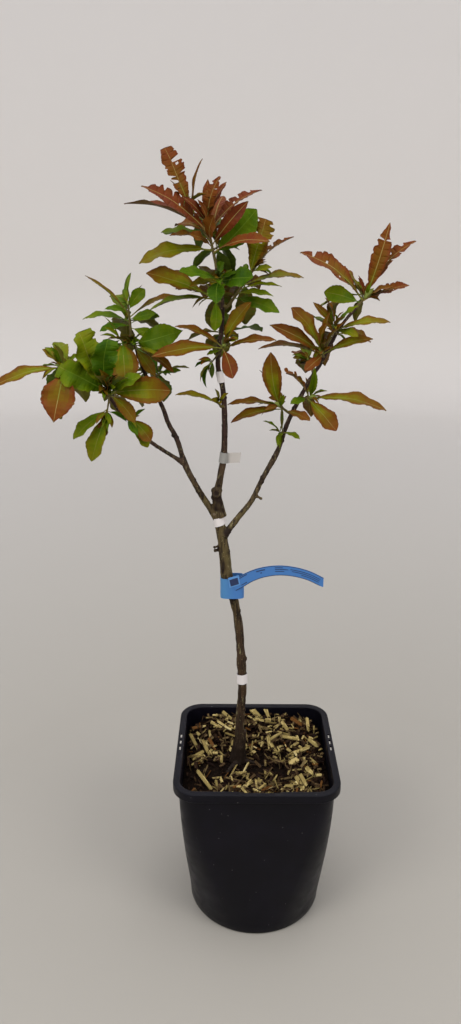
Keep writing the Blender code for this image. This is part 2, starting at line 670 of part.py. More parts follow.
def leaf(root, clock, lean, length, turn, ratio=LEAF_WIDTH, start=0.0, grow=0.0):
    """Points and faces of one leaf. start leaves out its foot, grow makes it fatter all round."""
    way = heading(clock, lean)
    up = Vector((0, 0, 1)) if abs(way.z) < 0.97 else Vector((math.copysign(1, -clock), 0, 0))
    lift = (up - up.dot(way) * way).normalized()
    face = Vector((0, -1, 0)) - (-way.y) * way
    rolled = math.radians(turn)
    if face.length > 0.05:
        lift = (math.cos(rolled) * lift + math.sin(rolled) * face.normalized()).normalized()
    side = way.cross(lift)
    width = length * ratio
    points, rings = [], []
    for share, spread in LEAF_STATIONS:
        if share < start:
            continue
        arch = 4 * share * (1 - share) * LEAF_BOW * length
        centre = root + way * share * length + lift * arch
        half = spread * width / 2 + grow
        rise = LEAF_FOLD * spread * width / 2
        thick = max(LEAF_THICKNESS, length * 0.014) / 2 + grow
        rings.append(list(range(len(points), len(points) + 4)))
        points += [centre + side * half + lift * rise, centre + lift * thick,
                   centre - side * half + lift * rise, centre - lift * thick]
    tip = len(points)
    points.append(root + way * (length + grow))
    faces = [tuple(reversed(rings[0]))] + bridge(rings)
    last = rings[-1]
    faces += [(last[i], last[(i + 1) % 4], tip) for i in range(4)]
    return points, faces


def tree_of(solid):
    """A search tree of one solid's faces."""
    return BVHTree.FromPolygons([Vector(p) for p in solid[0]], solid[1])


class Mass:
    """One mass of foliage: a stem that carries a limb on, its shoots, and their leaves."""

    def __init__(self, name, plan, limbs):
        self.name, self.plan = name, plan
        self.rng = random.Random(f"{SEED} {name}")
        limb = limbs[plan["limb"]]
        way = heading(*plan["stem"][:2])
        if plan["at"] is None:
            start, out = limb.leave_tip()
        else:
            start, out = limb.leave(plan["at"], way)
        self.stem = self.shoot_path(start, out, way, plan["stem"][2])
        self.solids = [tube(self.stem, [TWIG_RADIUS * r for r in (1.0, 1.0, 0.9, 0.75)], 6, out)]
        self.shoots = []
        for share, (clock, lean, length), leaves in plan["shoots"]:
            path = self.shoot_path(self.along(self.stem, share), heading(clock, lean),
                                   heading(clock, lean), length)
            self.shoots.append((path, leaves))
        twigs = math.ceil(plan["back"] / BACK_SHARE)
        for number in range(twigs):
            share = 0.45 + 0.5 * (number + 0.5) / twigs
            clock = self.rng.uniform(-70, 70)
            way = heading(clock, self.rng.uniform(-65, -35))
            path = self.shoot_path(self.along(self.stem, share), way, way, self.rng.uniform(9, 14))
            self.shoots.append((path, None))
        for path, _ in self.shoots:
            self.solids.append(tube(path, [TWIG_RADIUS * r for r in (0.7, 0.7, 0.65, 0.55)], 4))
        self.skipped = 0

    @staticmethod
    def shoot_path(start, out, way, length):
        """Four points: straight out of what carries it, then bent towards its own way."""
        bend = min(TWIG_BEND, length * 0.3)
        knee = start + out * bend
        return [start, knee, knee + way * (length - bend) * 0.5, knee + way * (length - bend)]

    @staticmethod
    def along(path, share):
        """The point at a share of a four-point path."""
        place = share * (len(path) - 1)
        i = min(int(place), len(path) - 2)
        return path[i].lerp(path[i + 1], place - i)

    def roots(self, path, count, low):
        """Where the leaves of one shoot stand, from low on it to just below its tip."""
        return [self.along(path, low + (0.97 - low) * (i + 0.5) / count) for i in range(count)]

    def shown(self):
        """The leaves that the front shows, with their roots."""
        rows = []
        if self.plan["leaves"]:
            rows += zip(self.roots(self.stem, len(self.plan["leaves"]), 0.45), self.plan["leaves"])
        for path, leaves in self.shoots:
            if leaves:
                rows += zip(self.roots(path, len(leaves), 0.6), leaves)
        return rows

    def hidden(self):
        """The leaves of the far side: round their twigs by the golden angle."""
        twigs = [path for path, leaves in self.shoots if leaves is None]
        rows, number = [], 0
        for path in twigs:
            count = min(BACK_SHARE, self.plan["back"] - number)
            for root in self.roots(path, count, 0.5):
                clock = (number * 137.5 + self.rng.uniform(-15, 15)) % 360 - 180
                lean = self.rng.uniform(*BACK_LEANS)
                length = self.rng.uniform(*BACK_LENGTHS)
                rows.append((root, (clock, lean, length, self.rng.uniform(-25, 25))))
                number += 1
        return rows

    def grow(self, rows, others):
        """Fuse on each leaf that touches nothing, turned a little where that helps."""
        for root, (clock, lean, *form) in rows:
            for d_clock, d_lean in NUDGES:
                shape = (root, clock + d_clock, lean + d_lean, *form)
                whole = tree_of(leaf(*shape, grow=LEAF_CLEAR))
                if any(whole.overlap(other) for other in others):
                    continue
                blade = tree_of(leaf(*shape, start=BLADE_START, grow=BLADE_CLEAR))
                if any(blade.overlap(tree_of(own)) for own in self.solids):
                    continue
                self.solids.append(leaf(*shape))
                break
            else:
                self.skipped += 1

    def build(self, finish):
        """One solid: the stem, with its shoots and leaves fused on."""
        body = mesh_object(self.name, *self.solids[0], finish)
        sprays = bpy.data.collections.new(self.name + "_sprays")
        bpy.context.scene.collection.children.link(sprays)
        for number, solid in enumerate(self.solids[1:]):
            piece = mesh_object(f"{self.name}_{number}", *solid)
            bpy.context.scene.collection.objects.unlink(piece)
            sprays.objects.link(piece)
        join(body, sprays, "UNION")
        return body


def make_foliage(limbs, taken, finish):
    """Every mass of foliage: first the leaves that show, then those of the far side."""
    masses = [Mass(name, plan, limbs) for name, plan in MASSES.items()]
    for rows in (Mass.shown, Mass.hidden):
        for mass in masses:
            others = taken + [tree_of(s) for m in masses if m is not mass for s in m.solids]
            mass.grow(rows(mass), others)
    made = [mass.build(finish) for mass in masses]
    print("leaves skipped:", {m.name: m.skipped for m in masses if m.skipped})
    return made


def main():
    for old in list(bpy.data.objects):
        bpy.data.objects.remove(old)
    plastic = material("black polypropylene", "#1d1c20", 0.45)
    soil = material("moist potting soil", "#2a2018", 0.95)
    straw = material("chopped straw", "#b5a05a", 0.85)
    bark = material("medlar bark", "#4a3d2e", 0.8)
    tape = material("white training tape", "#dfe0e2", 0.5)
    card = material("blue label plastic", "#4a7fc0", 0.5)
    leaves = material("medlar leaves", "#5a6424", 0.55)

    make_pot(plastic)
    make_soil(soil)
    make_mulch(straw)
    limbs = make_limbs()
    for limb in limbs.values():
        mesh_object(limb.name, *limb.solid, bark)
    trim = make_ties(limbs["trunk"], tape) + [make_label(limbs["trunk"], card)]
    taken = [tree_of(limb.solid) for limb in limbs.values()]
    for piece in trim:
        points = [v.co / MM for v in piece.data.vertices]
        taken.append(tree_of((points, [tuple(f.vertices) for f in piece.data.polygons])))
    make_foliage(limbs, taken, leaves)
    for made in bpy.context.scene.objects:
        made.data.shade_smooth()
        made.data.set_sharp_from_angle(angle=math.radians(40))


main()
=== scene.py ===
# %% [markdown]
# # A young medlar in a nursery pot
# A grafted medlar stands in a square five litre pot: a stem with three boughs, and whorls of long
# leaves that are green low down and turn bronze and red towards the tips of the shoots.
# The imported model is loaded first. It fixes every size and place, and each finer piece made below
# stands for one of its solids.

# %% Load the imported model
import json
import math
import random

import bmesh
import bpy
import numpy as np
from mathutils import Matrix, Vector, noise
from mathutils.bvhtree import BVHTree

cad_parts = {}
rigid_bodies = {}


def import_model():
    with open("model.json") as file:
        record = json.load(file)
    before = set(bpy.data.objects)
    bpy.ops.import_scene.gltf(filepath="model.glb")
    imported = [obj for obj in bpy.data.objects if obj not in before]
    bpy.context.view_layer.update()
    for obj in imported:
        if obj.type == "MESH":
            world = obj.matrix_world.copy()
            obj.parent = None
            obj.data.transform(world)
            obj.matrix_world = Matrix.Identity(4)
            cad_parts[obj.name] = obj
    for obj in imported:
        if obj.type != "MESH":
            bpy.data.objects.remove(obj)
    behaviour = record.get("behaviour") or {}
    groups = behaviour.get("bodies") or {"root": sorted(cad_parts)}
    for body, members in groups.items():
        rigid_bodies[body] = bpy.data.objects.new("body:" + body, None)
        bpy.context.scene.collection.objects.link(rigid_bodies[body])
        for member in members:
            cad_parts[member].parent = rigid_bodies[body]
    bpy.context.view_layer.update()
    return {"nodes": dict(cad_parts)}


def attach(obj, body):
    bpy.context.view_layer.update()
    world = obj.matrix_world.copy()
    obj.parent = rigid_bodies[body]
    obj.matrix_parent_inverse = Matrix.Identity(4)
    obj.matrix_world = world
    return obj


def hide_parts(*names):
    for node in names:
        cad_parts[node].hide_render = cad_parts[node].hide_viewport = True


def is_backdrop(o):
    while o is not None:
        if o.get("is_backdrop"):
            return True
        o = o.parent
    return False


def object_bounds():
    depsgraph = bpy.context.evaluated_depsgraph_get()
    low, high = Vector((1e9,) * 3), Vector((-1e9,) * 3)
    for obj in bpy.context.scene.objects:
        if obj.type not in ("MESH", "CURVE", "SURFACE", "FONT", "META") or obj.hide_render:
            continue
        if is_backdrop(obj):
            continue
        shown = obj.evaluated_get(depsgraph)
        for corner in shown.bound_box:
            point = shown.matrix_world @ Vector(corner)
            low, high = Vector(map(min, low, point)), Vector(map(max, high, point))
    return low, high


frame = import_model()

MM = 0.001
SEED = 23
BODY = "root"

# %% [markdown]
# ## Camera, floor and light
# The tree is seen from the front and a little above, at arm's length, with a wide lens: the pot's
# rim then shows its inside while the crown is seen level. A pale floor that curves up into a
# backdrop on every side keeps the view calm from all angles. Two broad soft lamps stand left and
# right in front, as in a packing shed with rows of tubes, and the air itself gives the rest.

# %% Camera
CAMERA_PLACE = (-0.025, -0.836, 0.777)
CAMERA_DOWN = 17.57
CAMERA_TURN = 0.39
LENS_MM = 27.6

camera_data = bpy.data.cameras.new("camera")
camera_data.lens = LENS_MM
camera_data.sensor_width = 36.0
camera_data.clip_start = 0.02
camera_data.clip_end = 30.0
camera = bpy.data.objects.new("camera", camera_data)
camera.location = CAMERA_PLACE
camera.rotation_euler = (math.radians(90.0 - CAMERA_DOWN), 0.0, math.radians(CAMERA_TURN))
bpy.context.scene.collection.objects.link(camera)
bpy.context.scene.camera = camera
print("camera at", CAMERA_PLACE)

# %% Colour and node helpers


def linear(srgb_hex):
    """The linear colour that Blender's sockets want, from an sRGB hex value."""
    channels = [int(srgb_hex[i:i + 2], 16) / 255.0 for i in (1, 3, 5)]
    return (*(c / 12.92 if c <= 0.04045 else ((c + 0.055) / 1.055) ** 2.4 for c in channels), 1.0)


def add(tree, kind, inputs=None, **settings):
    """Add a node: its settings first, then a value or a link for each input."""
    node = tree.nodes.new(kind)
    for name, value in settings.items():
        setattr(node, name, value)
    for key, value in (inputs or {}).items():
        if isinstance(value, bpy.types.NodeSocket):
            tree.links.new(value, node.inputs[key])
        else:
            node.inputs[key].default_value = value
    return node


def material(name, srgb_hex, roughness, sockets=None):
    """A Principled material with plain values on its own sockets."""
    made = bpy.data.materials.new(name)
    made.use_nodes = True
    shader = made.node_tree.nodes["Principled BSDF"]
    shader.inputs["Base Color"].default_value = linear(srgb_hex)
    shader.inputs["Roughness"].default_value = roughness
    for socket, value in (sockets or {}).items():
        shader.inputs[socket].default_value = value
    return made


def speckle(made, period_mm, detail=3.0, stretch=(1.0, 1.0, 1.0)):
    """A noise from 0 to 1 in the piece's own space, whose spots are period_mm apart."""
    tree = made.node_tree
    place = add(tree, "ShaderNodeTexCoord").outputs["Object"]
    turned = add(tree, "ShaderNodeMapping", {"Vector": place, "Scale": stretch})
    return add(tree, "ShaderNodeTexNoise", {"Vector": turned.outputs[0], "Detail": detail,
                                            "Scale": 1.0 / (period_mm * MM)}).outputs[0]


def relief(made, height, depth_mm, strength=1.0):
    """Feed a height into the shader's normal."""
    tree = made.node_tree
    shader = tree.nodes["Principled BSDF"]
    bump = add(tree, "ShaderNodeBump", {"Height": height, "Distance": depth_mm * MM, "Strength": strength})
    tree.links.new(bump.outputs[0], shader.inputs["Normal"])


def gloss(made, factor, low, high):
    """Let the roughness run from low to high with a factor."""
    tree = made.node_tree
    spread = add(tree, "ShaderNodeMapRange", {"Value": factor, "From Min": 0.3, "From Max": 0.7,
                                              "To Min": low, "To Max": high})
    tree.links.new(spread.outputs[0], tree.nodes["Principled BSDF"].inputs["Roughness"])


def tint(made, layers):
    """Mix colours over each other. layers holds (colour, factor, low, high) after a first colour."""
    tree = made.node_tree
    colour = linear(layers[0])
    for srgb_hex, factor, low, high in layers[1:]:
        amount = add(tree, "ShaderNodeMapRange", {"Value": factor, "From Min": low, "From Max": high})
        mix = add(tree, "ShaderNodeMix", {0: amount.outputs[0], 6: colour, 7: linear(srgb_hex)},
                  data_type="RGBA")
        colour = mix.outputs[2]
    tree.links.new(colour, tree.nodes["Principled BSDF"].inputs["Base Color"])


# %% Mesh helpers


def mesh_object(name, points, faces, finishes=(), scale=MM):
    """An object from points, in millimetres unless scale says otherwise, and their faces."""
    mesh = bpy.data.meshes.new(name)
    mesh.from_pydata([tuple(c * scale for c in p) for p in points], [], faces)
    mesh.update()
    for finish in finishes:
        mesh.materials.append(finish)
    made = bpy.data.objects.new(name, mesh)
    bpy.context.scene.collection.objects.link(made)
    return made


def settle(made, sharp_above=None):
    """Turn what the modifiers show into the object's plain mesh."""
    evaluated = made.evaluated_get(bpy.context.evaluated_depsgraph_get())
    result = bpy.data.meshes.new_from_object(evaluated)
    made.modifiers.clear()
    old = made.data
    made.data = result
    result.name = made.name
    bpy.data.meshes.remove(old)
    result.shade_smooth()
    if sharp_above:
        result.set_sharp_from_angle(angle=math.radians(sharp_above))
    return made


def hand_over(made, replaced=()):
    """Let a finished piece ride on the body and the solids it stands for."""
    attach(made, BODY)
    if replaced:
        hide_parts(*replaced)
    made.data.calc_loop_triangles()
    print(made.name, "has", len(made.data.loop_triangles), "triangles")


# %% Floor with a round cove
FLOOR_RADIUS = 3.4
COVE_RADIUS = 0.7
WALL_TOP = 3.4

profile = [(0.0, 0.0), (FLOOR_RADIUS, 0.0)]
for step in range(1, 13):
    angle = math.radians(90.0 * step / 12)
    profile.append((FLOOR_RADIUS + COVE_RADIUS * math.sin(angle), COVE_RADIUS * (1.0 - math.cos(angle))))
profile.append((FLOOR_RADIUS + COVE_RADIUS, WALL_TOP))
ROUND = 96
floor_points = [(0.0, 0.0, 0.0)]
for reach, level in profile[1:]:
    floor_points += [(reach * math.cos(math.tau * i / ROUND), reach * math.sin(math.tau * i / ROUND), level)
                     for i in range(ROUND)]
floor_faces = [(0, 1 + i, 1 + (i + 1) % ROUND) for i in range(ROUND)]
for ring in range(len(profile) - 2):
    a, b = 1 + ring * ROUND, 1 + (ring + 1) * ROUND
    floor_faces += [(a + i, b + i, b + (i + 1) % ROUND, a + (i + 1) % ROUND) for i in range(ROUND)]
studio = material("painted plaster", "#dedad4", 0.85)
# Grey paint on the floor turns into the white of the wall little by little, so no edge shows. The slow lightening
# over metres of floor is also painted light: it brightens the back against the lamps' fall-off
spread = add(studio.node_tree, "ShaderNodeVectorMath",
             {0: add(studio.node_tree, "ShaderNodeTexCoord").outputs["Object"]}, operation="LENGTH").outputs["Value"]
tint(studio, ["#96928a", ("#dedad4", spread, 0.5, 3.9)])
floor = mesh_object("studio_floor", floor_points, floor_faces, [studio], scale=1.0)
floor.data.shade_smooth()
floor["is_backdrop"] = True
print("floor and cove reach", FLOOR_RADIUS + COVE_RADIUS, "m")

# %% Lamps and sky
LAMPS = {
    "left_lamp": ((-1.5, -1.5, 1.9), 1.3, 32.0),
    "right_lamp": ((1.6, -1.4, 1.9), 1.3, 24.0),
    "top_lamp": ((0.1, -0.2, 2.6), 1.6, 22.0),
}
AIM = Vector((-0.02, 0.0, 0.45))
for name, (place, size, power) in LAMPS.items():
    lamp = bpy.data.lights.new(name, "AREA")
    lamp.shape = "DISK"
    lamp.size = size
    lamp.energy = power
    lamp.color = (1.0, 0.985, 0.96)
    holder = bpy.data.objects.new(name, lamp)
    holder.location = place
    holder.rotation_euler = (AIM - Vector(place)).to_track_quat("-Z", "Y").to_euler()
    bpy.context.scene.collection.objects.link(holder)
sky = bpy.data.worlds.new("soft_air")
sky.use_nodes = True
sky.node_tree.nodes["Background"].inputs["Color"].default_value = linear("#f2f4ff")
sky.node_tree.nodes["Background"].inputs["Strength"].default_value = 1.05
bpy.context.scene.world = sky
bpy.context.scene.view_settings.view_transform = "Standard"
print(len(LAMPS), "lamps")

# %% [markdown]
# ## Materials
# Each finish starts from what the real surface is. The pot is injection moulded polypropylene,
# black with a faint bluish cast, satin, and dulled by dust. The bark of a young medlar is thin,
# olive to grey brown, with pale lenticels. Tape and label are printed film and card.

# %% Pot, soil and straw
# Moulded black polypropylene: IOR 1.49, satin, a thin bloom of dust and a few scuffs
pot_plastic = material("black polypropylene", "#08070b", 0.45, {"IOR": 1.49, "Specular IOR Level": 0.16})
specks = add(pot_plastic.node_tree, "ShaderNodeTexVoronoi",
             {"Vector": add(pot_plastic.node_tree, "ShaderNodeTexCoord").outputs["Object"],
              "Scale": 1.0 / (11.0 * MM)}).outputs["Distance"]
tint(pot_plastic, ["#07060d", ("#0c0a14", speckle(pot_plastic, 38.0, 5.0), 0.45, 0.75),
                   ("#6f6d6b", specks, 0.048, 0.026)])
gloss(pot_plastic, speckle(pot_plastic, 14.0, 4.0), 0.34, 0.48)
relief(pot_plastic, speckle(pot_plastic, 1.6, 2.0), 0.04, 0.5)

# Moist peat and bark potting soil: nearly black, with brown fibres; grit of about 1.5 mm
soil_finish = material("moist potting soil", "#100906", 0.92, {"Specular IOR Level": 0.06})
tint(soil_finish, ["#0c0603", ("#1c110a", speckle(soil_finish, 3.0, 5.0), 0.45, 0.72),
                   ("#3a2a19", speckle(soil_finish, 1.6, 2.0), 0.7, 0.82)])
relief(soil_finish, speckle(soil_finish, 1.5, 5.0), 0.9)

# Chopped straw, dry and matt, from dark and rotting to pale and new; the darkest steps are also
# painted shade deep between the pieces. Stalks have fibres along them about 0.4 mm apart, drawn 0.8 mm so that they
# show
STRAW_COLOURS = ["#160a05", "#2a1b10", "#43331f", "#605033", "#857546", "#a69460", "#bdae7c", "#5c3c1a"]
straw_finishes = []
for number, srgb_hex in enumerate(STRAW_COLOURS):
    straw = material(f"chopped straw {number}", srgb_hex, 0.78, {"Specular IOR Level": 0.1})
    gloss(straw, speckle(straw, 2.0), 0.6, 0.9)
    relief(straw, speckle(straw, 0.8, 2.0), 0.15, 0.7)
    straw_finishes.append(straw)

# %% Bark, tape and label
# Thin smooth bark of a young stem: olive brown with darker streaks along the grain, a grey bloom,
# and pale lenticels a millimetre wide and about four apart
bark = material("medlar bark", "#4a3b29", 0.72, {"Specular IOR Level": 0.15})
bark_tree = bark.node_tree
bark_place = add(bark_tree, "ShaderNodeTexCoord").outputs["Object"]
bark_level = add(bark_tree, "ShaderNodeSeparateXYZ", {0: bark_place}).outputs["Z"]
pores = add(bark_tree, "ShaderNodeTexVoronoi",
            {"Vector": add(bark_tree, "ShaderNodeMapping",
                            {"Vector": bark_place, "Scale": (1.0, 1.0, 1.7)}).outputs[0],
             "Scale": 1.0 / (4.0 * MM)}).outputs["Distance"]
streaks = speckle(bark, 3.2, 5.0, (1.0, 1.0, 0.16))
# The mesh carries an age: up to 1 at old knots and up to -1 at fresh wounds
age = add(bark_tree, "ShaderNodeAttribute", attribute_name="age").outputs["Fac"]
tint(bark, ["#4f432a", ("#5a512f", speckle(bark, 22.0, 3.0), 0.5, 0.72), ("#3a2b1d", bark_level, 0.43, 0.36),
            ("#35241e", bark_level, 0.5, 0.6), ("#1f160e", streaks, 0.44, 0.62),
            ("#7b7452", speckle(bark, 2.4, 4.0, (1.0, 1.0, 0.3)), 0.6, 0.74),
            ("#7d6e50", pores, 0.17, 0.1), ("#1a110a", bark_level, 0.262, 0.205),
            ("#1e130c", age, 0.2, 0.85), ("#94857a", age, -0.2, -0.8)])
gloss(bark, speckle(bark, 5.0), 0.55, 0.85)
relief(bark, streaks, 0.35)

# Young shoots keep a thin hairy skin, green tan and a little shiny
shoot_skin = material("young shoot skin", "#544a29", 0.6, {"Specular IOR Level": 0.12})
gloss(shoot_skin, speckle(shoot_skin, 3.0), 0.5, 0.75)
relief(shoot_skin, speckle(shoot_skin, 1.2), 0.1)

# Training tape: white polyethylene film, stretched, with creases. The middle band is so thin that
# the bark greys it from behind, and only its loose end is pale
tape = material("white training tape", "#cdc8c6", 0.42, {"IOR": 1.5})
gloss(tape, speckle(tape, 4.0), 0.3, 0.55)
relief(tape, speckle(tape, 2.4, 3.0, (1.0, 1.0, 0.4)), 0.25, 0.6)
thin_tape = material("thin training tape", "#a19b94", 0.42, {"IOR": 1.5})
tape_place = add(thin_tape.node_tree, "ShaderNodeTexCoord").outputs["Object"]
tape_across = add(thin_tape.node_tree, "ShaderNodeSeparateXYZ", {0: tape_place}).outputs["X"]
tint(thin_tape, ["#85847f", ("#aca7a1", tape_across, -0.034, -0.031)])
gloss(thin_tape, speckle(thin_tape, 4.0), 0.3, 0.55)
relief(thin_tape, speckle(thin_tape, 2.4, 3.0, (1.0, 1.0, 0.4)), 0.25, 0.6)

# Loop label: coated blue polypropylene card with a slight sheen. Where the band faces the left lamp it is
# painted a lighter blue as painted light; its rules are plain printed lines
label_blue = material("blue label plastic", "#3b659f", 0.45, {"IOR": 1.49, "Specular IOR Level": 0.2})
label_tree = label_blue.node_tree
label_place = add(label_tree, "ShaderNodeTexCoord").outputs["Object"]
label_x_for_painted_light = add(label_tree, "ShaderNodeSeparateXYZ", {0: label_place}).outputs["X"]
# Painted light: the band's left end, which faces the left lamp, is a lighter blue
tint(label_blue, ["#3f6da6", ("#4678a6", label_x_for_painted_light, -0.026, -0.038)])
gloss(label_blue, speckle(label_blue, 8.0), 0.38, 0.52)
relief(label_blue, speckle(label_blue, 1.0), 0.03)
# Dark ink for the printed rules, also used as painted shade along the tongue's long edges
label_ink_and_edge_shade = material("dark label ink", "#10234a", 0.5)
gloss(label_ink_and_edge_shade, speckle(label_ink_and_edge_shade, 8.0), 0.45, 0.6)
label_pale = material("pale label print", "#5483b8", 0.5, {"Specular IOR Level": 0.2})
gloss(label_pale, speckle(label_pale, 8.0), 0.45, 0.6)
print(len(bpy.data.materials), "materials so far")

# %% [markdown]
# ### Leaf tints
# A medlar's young leaves are bronze red and turn green as they grow, from the midrib outwards, so
# a leaf can be green in the middle and red at its margin. The ramp below runs from deep green over
# olive and bronze to red brown. Every step is its own material with one plain base colour, and a
# leaf's faces pick their step; a pattern of colour inside the material would be lost on export.

# %% Leaf tints
BLADE_TINTS = ["#284303", "#395103", "#495b04", "#565f06", "#625e09", "#5f4b0a", "#5e3d0c",
               "#61360f", "#5c2a10", "#4e220f"]
UNDER_TINTS = ["#4c5d1f", "#59551f", "#5e451d"]
RIB_TINTS = ["#53681a", "#6c6c2b", "#82733f"]
BUD_TINTS = ["#7c8842"]
TINTS = [linear(srgb_hex) for srgb_hex in BLADE_TINTS]
FINER = 3
blades = []
for number in range(FINER * (len(TINTS) - 1) + 1):
    low = min(number // FINER, len(TINTS) - 2)
    share = number / FINER - low
    blades.append([a + (b - a) * share for a, b in zip(TINTS[low], TINTS[low + 1])])
leaf_finishes = []
blades_and_rest = blades + [linear(srgb_hex) for srgb_hex in UNDER_TINTS + RIB_TINTS + BUD_TINTS]
for number, colour in enumerate(blades_and_rest):
    # A leaf's cuticle is thin wax over soft cells: a weak satin sheen over deep colour
    skin = material(f"medlar leaf {number}", "#000000", 0.5, {"IOR": 1.42, "Specular IOR Level": 0.06})
    skin.node_tree.nodes["Principled BSDF"].inputs["Base Color"].default_value = colour
    gloss(skin, speckle(skin, 7.0, 3.0), 0.38, 0.55)
    relief(skin, speckle(skin, 1.4, 3.0), 0.12, 0.6)
    leaf_finishes.append(skin)
print(len(leaf_finishes), "leaf finishes")

# %% [markdown]
# ## The rule of the tree
# The source builds its solids from a few curves and a table of masses, and the same rule is
# written again here so that every fine twig and leaf lands where its plain solid lies. A
# direction is read from the front: a clock angle, 0 up and 90 to the right, and a lean towards
# the viewer. Sizes are in millimetres.

# %% Sizes of the stem and its boughs
GAP = 0.3
SOIL_TOP = 188.0
STEM_X = -20.0
STEM_Y = -2.0
ROOT_FLARE = 3.6
ROOT_LOBES = 5
TRUNK_AXIS = [
    (STEM_X, STEM_Y, SOIL_TOP + GAP), (-20, -2, 204), (-19.5, -1.5, 226), (-19, -1, 250),
    (-16.5, 0, 289), (-18, 1, 329), (-21, 2, 370), (-26, 1, 402), (-34, 0, 430), (-38, -1, 468),
    (-43, -2, 503), (-45, -3, 532), (-42, -2, 553), (-38, -1, 577), (-37, 2, 615),
    (-39, 3, 650), (-44, 3, 676), (-40.5, 2, 710), (-39, 1, 737), (-42, 0, 757), (-45, 0, 773),
]
TRUNK_GIRTH = [
    (0.0, 8.2), (0.02, 7.3), (0.06, 5.9), (0.1, 5.3), (0.2, 4.9), (0.23, 5.5), (0.26, 4.6),
    (0.31, 5.2), (0.34, 4.7), (0.38, 5.0), (0.41, 6.8), (0.46, 6.6), (0.5, 5.8), (0.56, 5.5),
    (0.58, 4.6), (0.62, 3.7), (0.75, 3.1), (0.88, 2.5), (1.0, 1.9),
]
RIGHT_AXIS = [
    (-20, 2, 508), (-7, 6, 524), (3, 10, 544), (10, 13, 557), (22, 17, 579), (33, 21, 611),
    (54, 24, 653), (67, 28, 673), (87, 34, 710), (105, 39.5, 732),
]
RIGHT_GIRTH = [(0.0, 3.9), (0.04, 3.1), (0.3, 2.8), (0.36, 3.2), (0.42, 2.6), (1.0, 1.8)]
LEFT_AXIS = [
    (-57, -6, 525), (-66, -9, 541), (-79, -12, 568), (-88, -8, 596), (-98, 0, 613),
    (-105, 6, 631), (-124, 16, 666), (-136, 20, 702),
]
LEFT_GIRTH = [(0.0, 4.4), (0.05, 3.6), (0.3, 3.2), (0.36, 3.6), (0.42, 2.7), (1.0, 1.8)]
LOW_AXIS = [
    (-92, -17, 580), (-103, -20, 588), (-117, -26, 600), (-129, -33, 617), (-143, -38, 631),
    (-157, -45, 653), (-176, -51.5, 667.5),
]
LOW_GIRTH = [(0.0, 2.8), (0.08, 2.1), (0.5, 1.9), (1.0, 1.5)]
RIGHT_HEIGHT = 488.0
LEFT_HEIGHT = 512.0
LOW_HEIGHT = 566.0
KNUCKLE_OUT = 2.5
KNUCKLE_ALONG = 1.2

# %% Curves


def spline(points, steps):
    """Points along a Catmull-Rom curve through the given ones, steps for each span."""
    knots = [Vector(p) for p in points]
    knots = [2 * knots[0] - knots[1]] + knots + [2 * knots[-1] - knots[-2]]
    curve = []
    for a, b, c, d in zip(knots, knots[1:], knots[2:], knots[3:]):
        for i in range(steps):
            t = i / steps
            curve.append(0.5 * (2 * b + (c - a) * t + (2 * a - 5 * b + 4 * c - d) * t * t
                                + (3 * b - a - 3 * c + d) * t ** 3))
    curve.append(knots[-2])
    return curve


def shares(path):
    """How far along the path each of its points lies, from 0 to 1."""
    along = [0.0]
    for a, b in zip(path, path[1:]):
        along.append(along[-1] + (b - a).length)
    return [s / along[-1] for s in along]


def girth_at(girth, share):
    """The radius at a share of the length, eased between the listed ones."""
    for (s0, r0), (s1, r1) in zip(girth, girth[1:]):
        if share <= s1:
            t = (share - s0) / (s1 - s0)
            return r0 + (r1 - r0) * t * t * (3 - 2 * t)
    return girth[-1][1]


def tangents(path, first=None):
    """The direction of the path at each point. The first may be given."""
    ways = [(path[1] - path[0]).normalized()]
    for a, b in zip(path, path[2:]):
        ways.append((b - a).normalized())
    ways.append((path[-1] - path[-2]).normalized())
    if first:
        ways[0] = first
    return ways


def bridge(rings):
    """Quads that join closed rings of equal length."""
    faces = []
    for lower, upper in zip(rings, rings[1:]):
        count = len(lower)
        faces += [(lower[i], lower[(i + 1) % count], upper[(i + 1) % count], upper[i]) for i in range(count)]
    return faces


def tube(path, radii, sides, first=None, swell=None):
    """Points and faces of a closed tapering tube. swell(number, angle) widens a ring."""
    ways = tangents(path, first)
    across = ways[0].orthogonal() if abs(ways[0].x) > 0.9 else Vector((1, 0, 0))
    points, rings = [], []
    for number, (centre, way, radius) in enumerate(zip(path, ways, radii)):
        across = (across - across.dot(way) * way).normalized()
        over = way.cross(across)
        ring = []
        for i in range(sides):
            angle = math.tau * i / sides
            reach = radius * (swell(number, angle) if swell else 1.0)
            ring.append(len(points))
            points.append(centre + reach * (math.cos(angle) * across + math.sin(angle) * over))
        rings.append(ring)
    return points, [tuple(reversed(rings[0]))] + bridge(rings) + [tuple(rings[-1])]


def heading(clock, lean):
    """The unit vector of a direction that is read from the front."""
    c, s = math.radians(clock), math.radians(lean)
    return Vector((math.sin(c) * math.cos(s), -math.sin(s), math.cos(c) * math.cos(s)))


# %% Limbs as the source lays them out


class Limb:
    """A tapering limb: its axis, its radii and where things leave it."""

    def __init__(self, name, points, girth, first=None):
        self.name, self.points, self.girth, self.first = name, points, girth, first
        self.path = spline(points, 2)
        self.radii = [girth_at(girth, s) for s in shares(self.path)]
        self.ways = tangents(self.path, first)

    def station(self, height):
        """Number of the axis point nearest to a height, and its share to the next one."""
        for i, (a, b) in enumerate(zip(self.path, self.path[1:])):
            if a.z <= height <= b.z:
                return i, (height - a.z) / (b.z - a.z)
        return len(self.path) - 2, 1.0

    def leave(self, height, way):
        """Where something leaves the limb's side, a gap clear, and the direction straight out."""
        i, t = self.station(height)
        centre = self.path[i].lerp(self.path[i + 1], t)
        along = (self.path[i + 1] - self.path[i]).normalized()
        out = (way - way.dot(along) * along).normalized()
        radius = max(self.radii[i], self.radii[i + 1])
        return centre + out * (radius + GAP), out

    def leave_tip(self):
        """Where something carries the tip on, a gap clear, and its direction."""
        return self.path[-1] + self.ways[-1] * GAP, self.ways[-1]


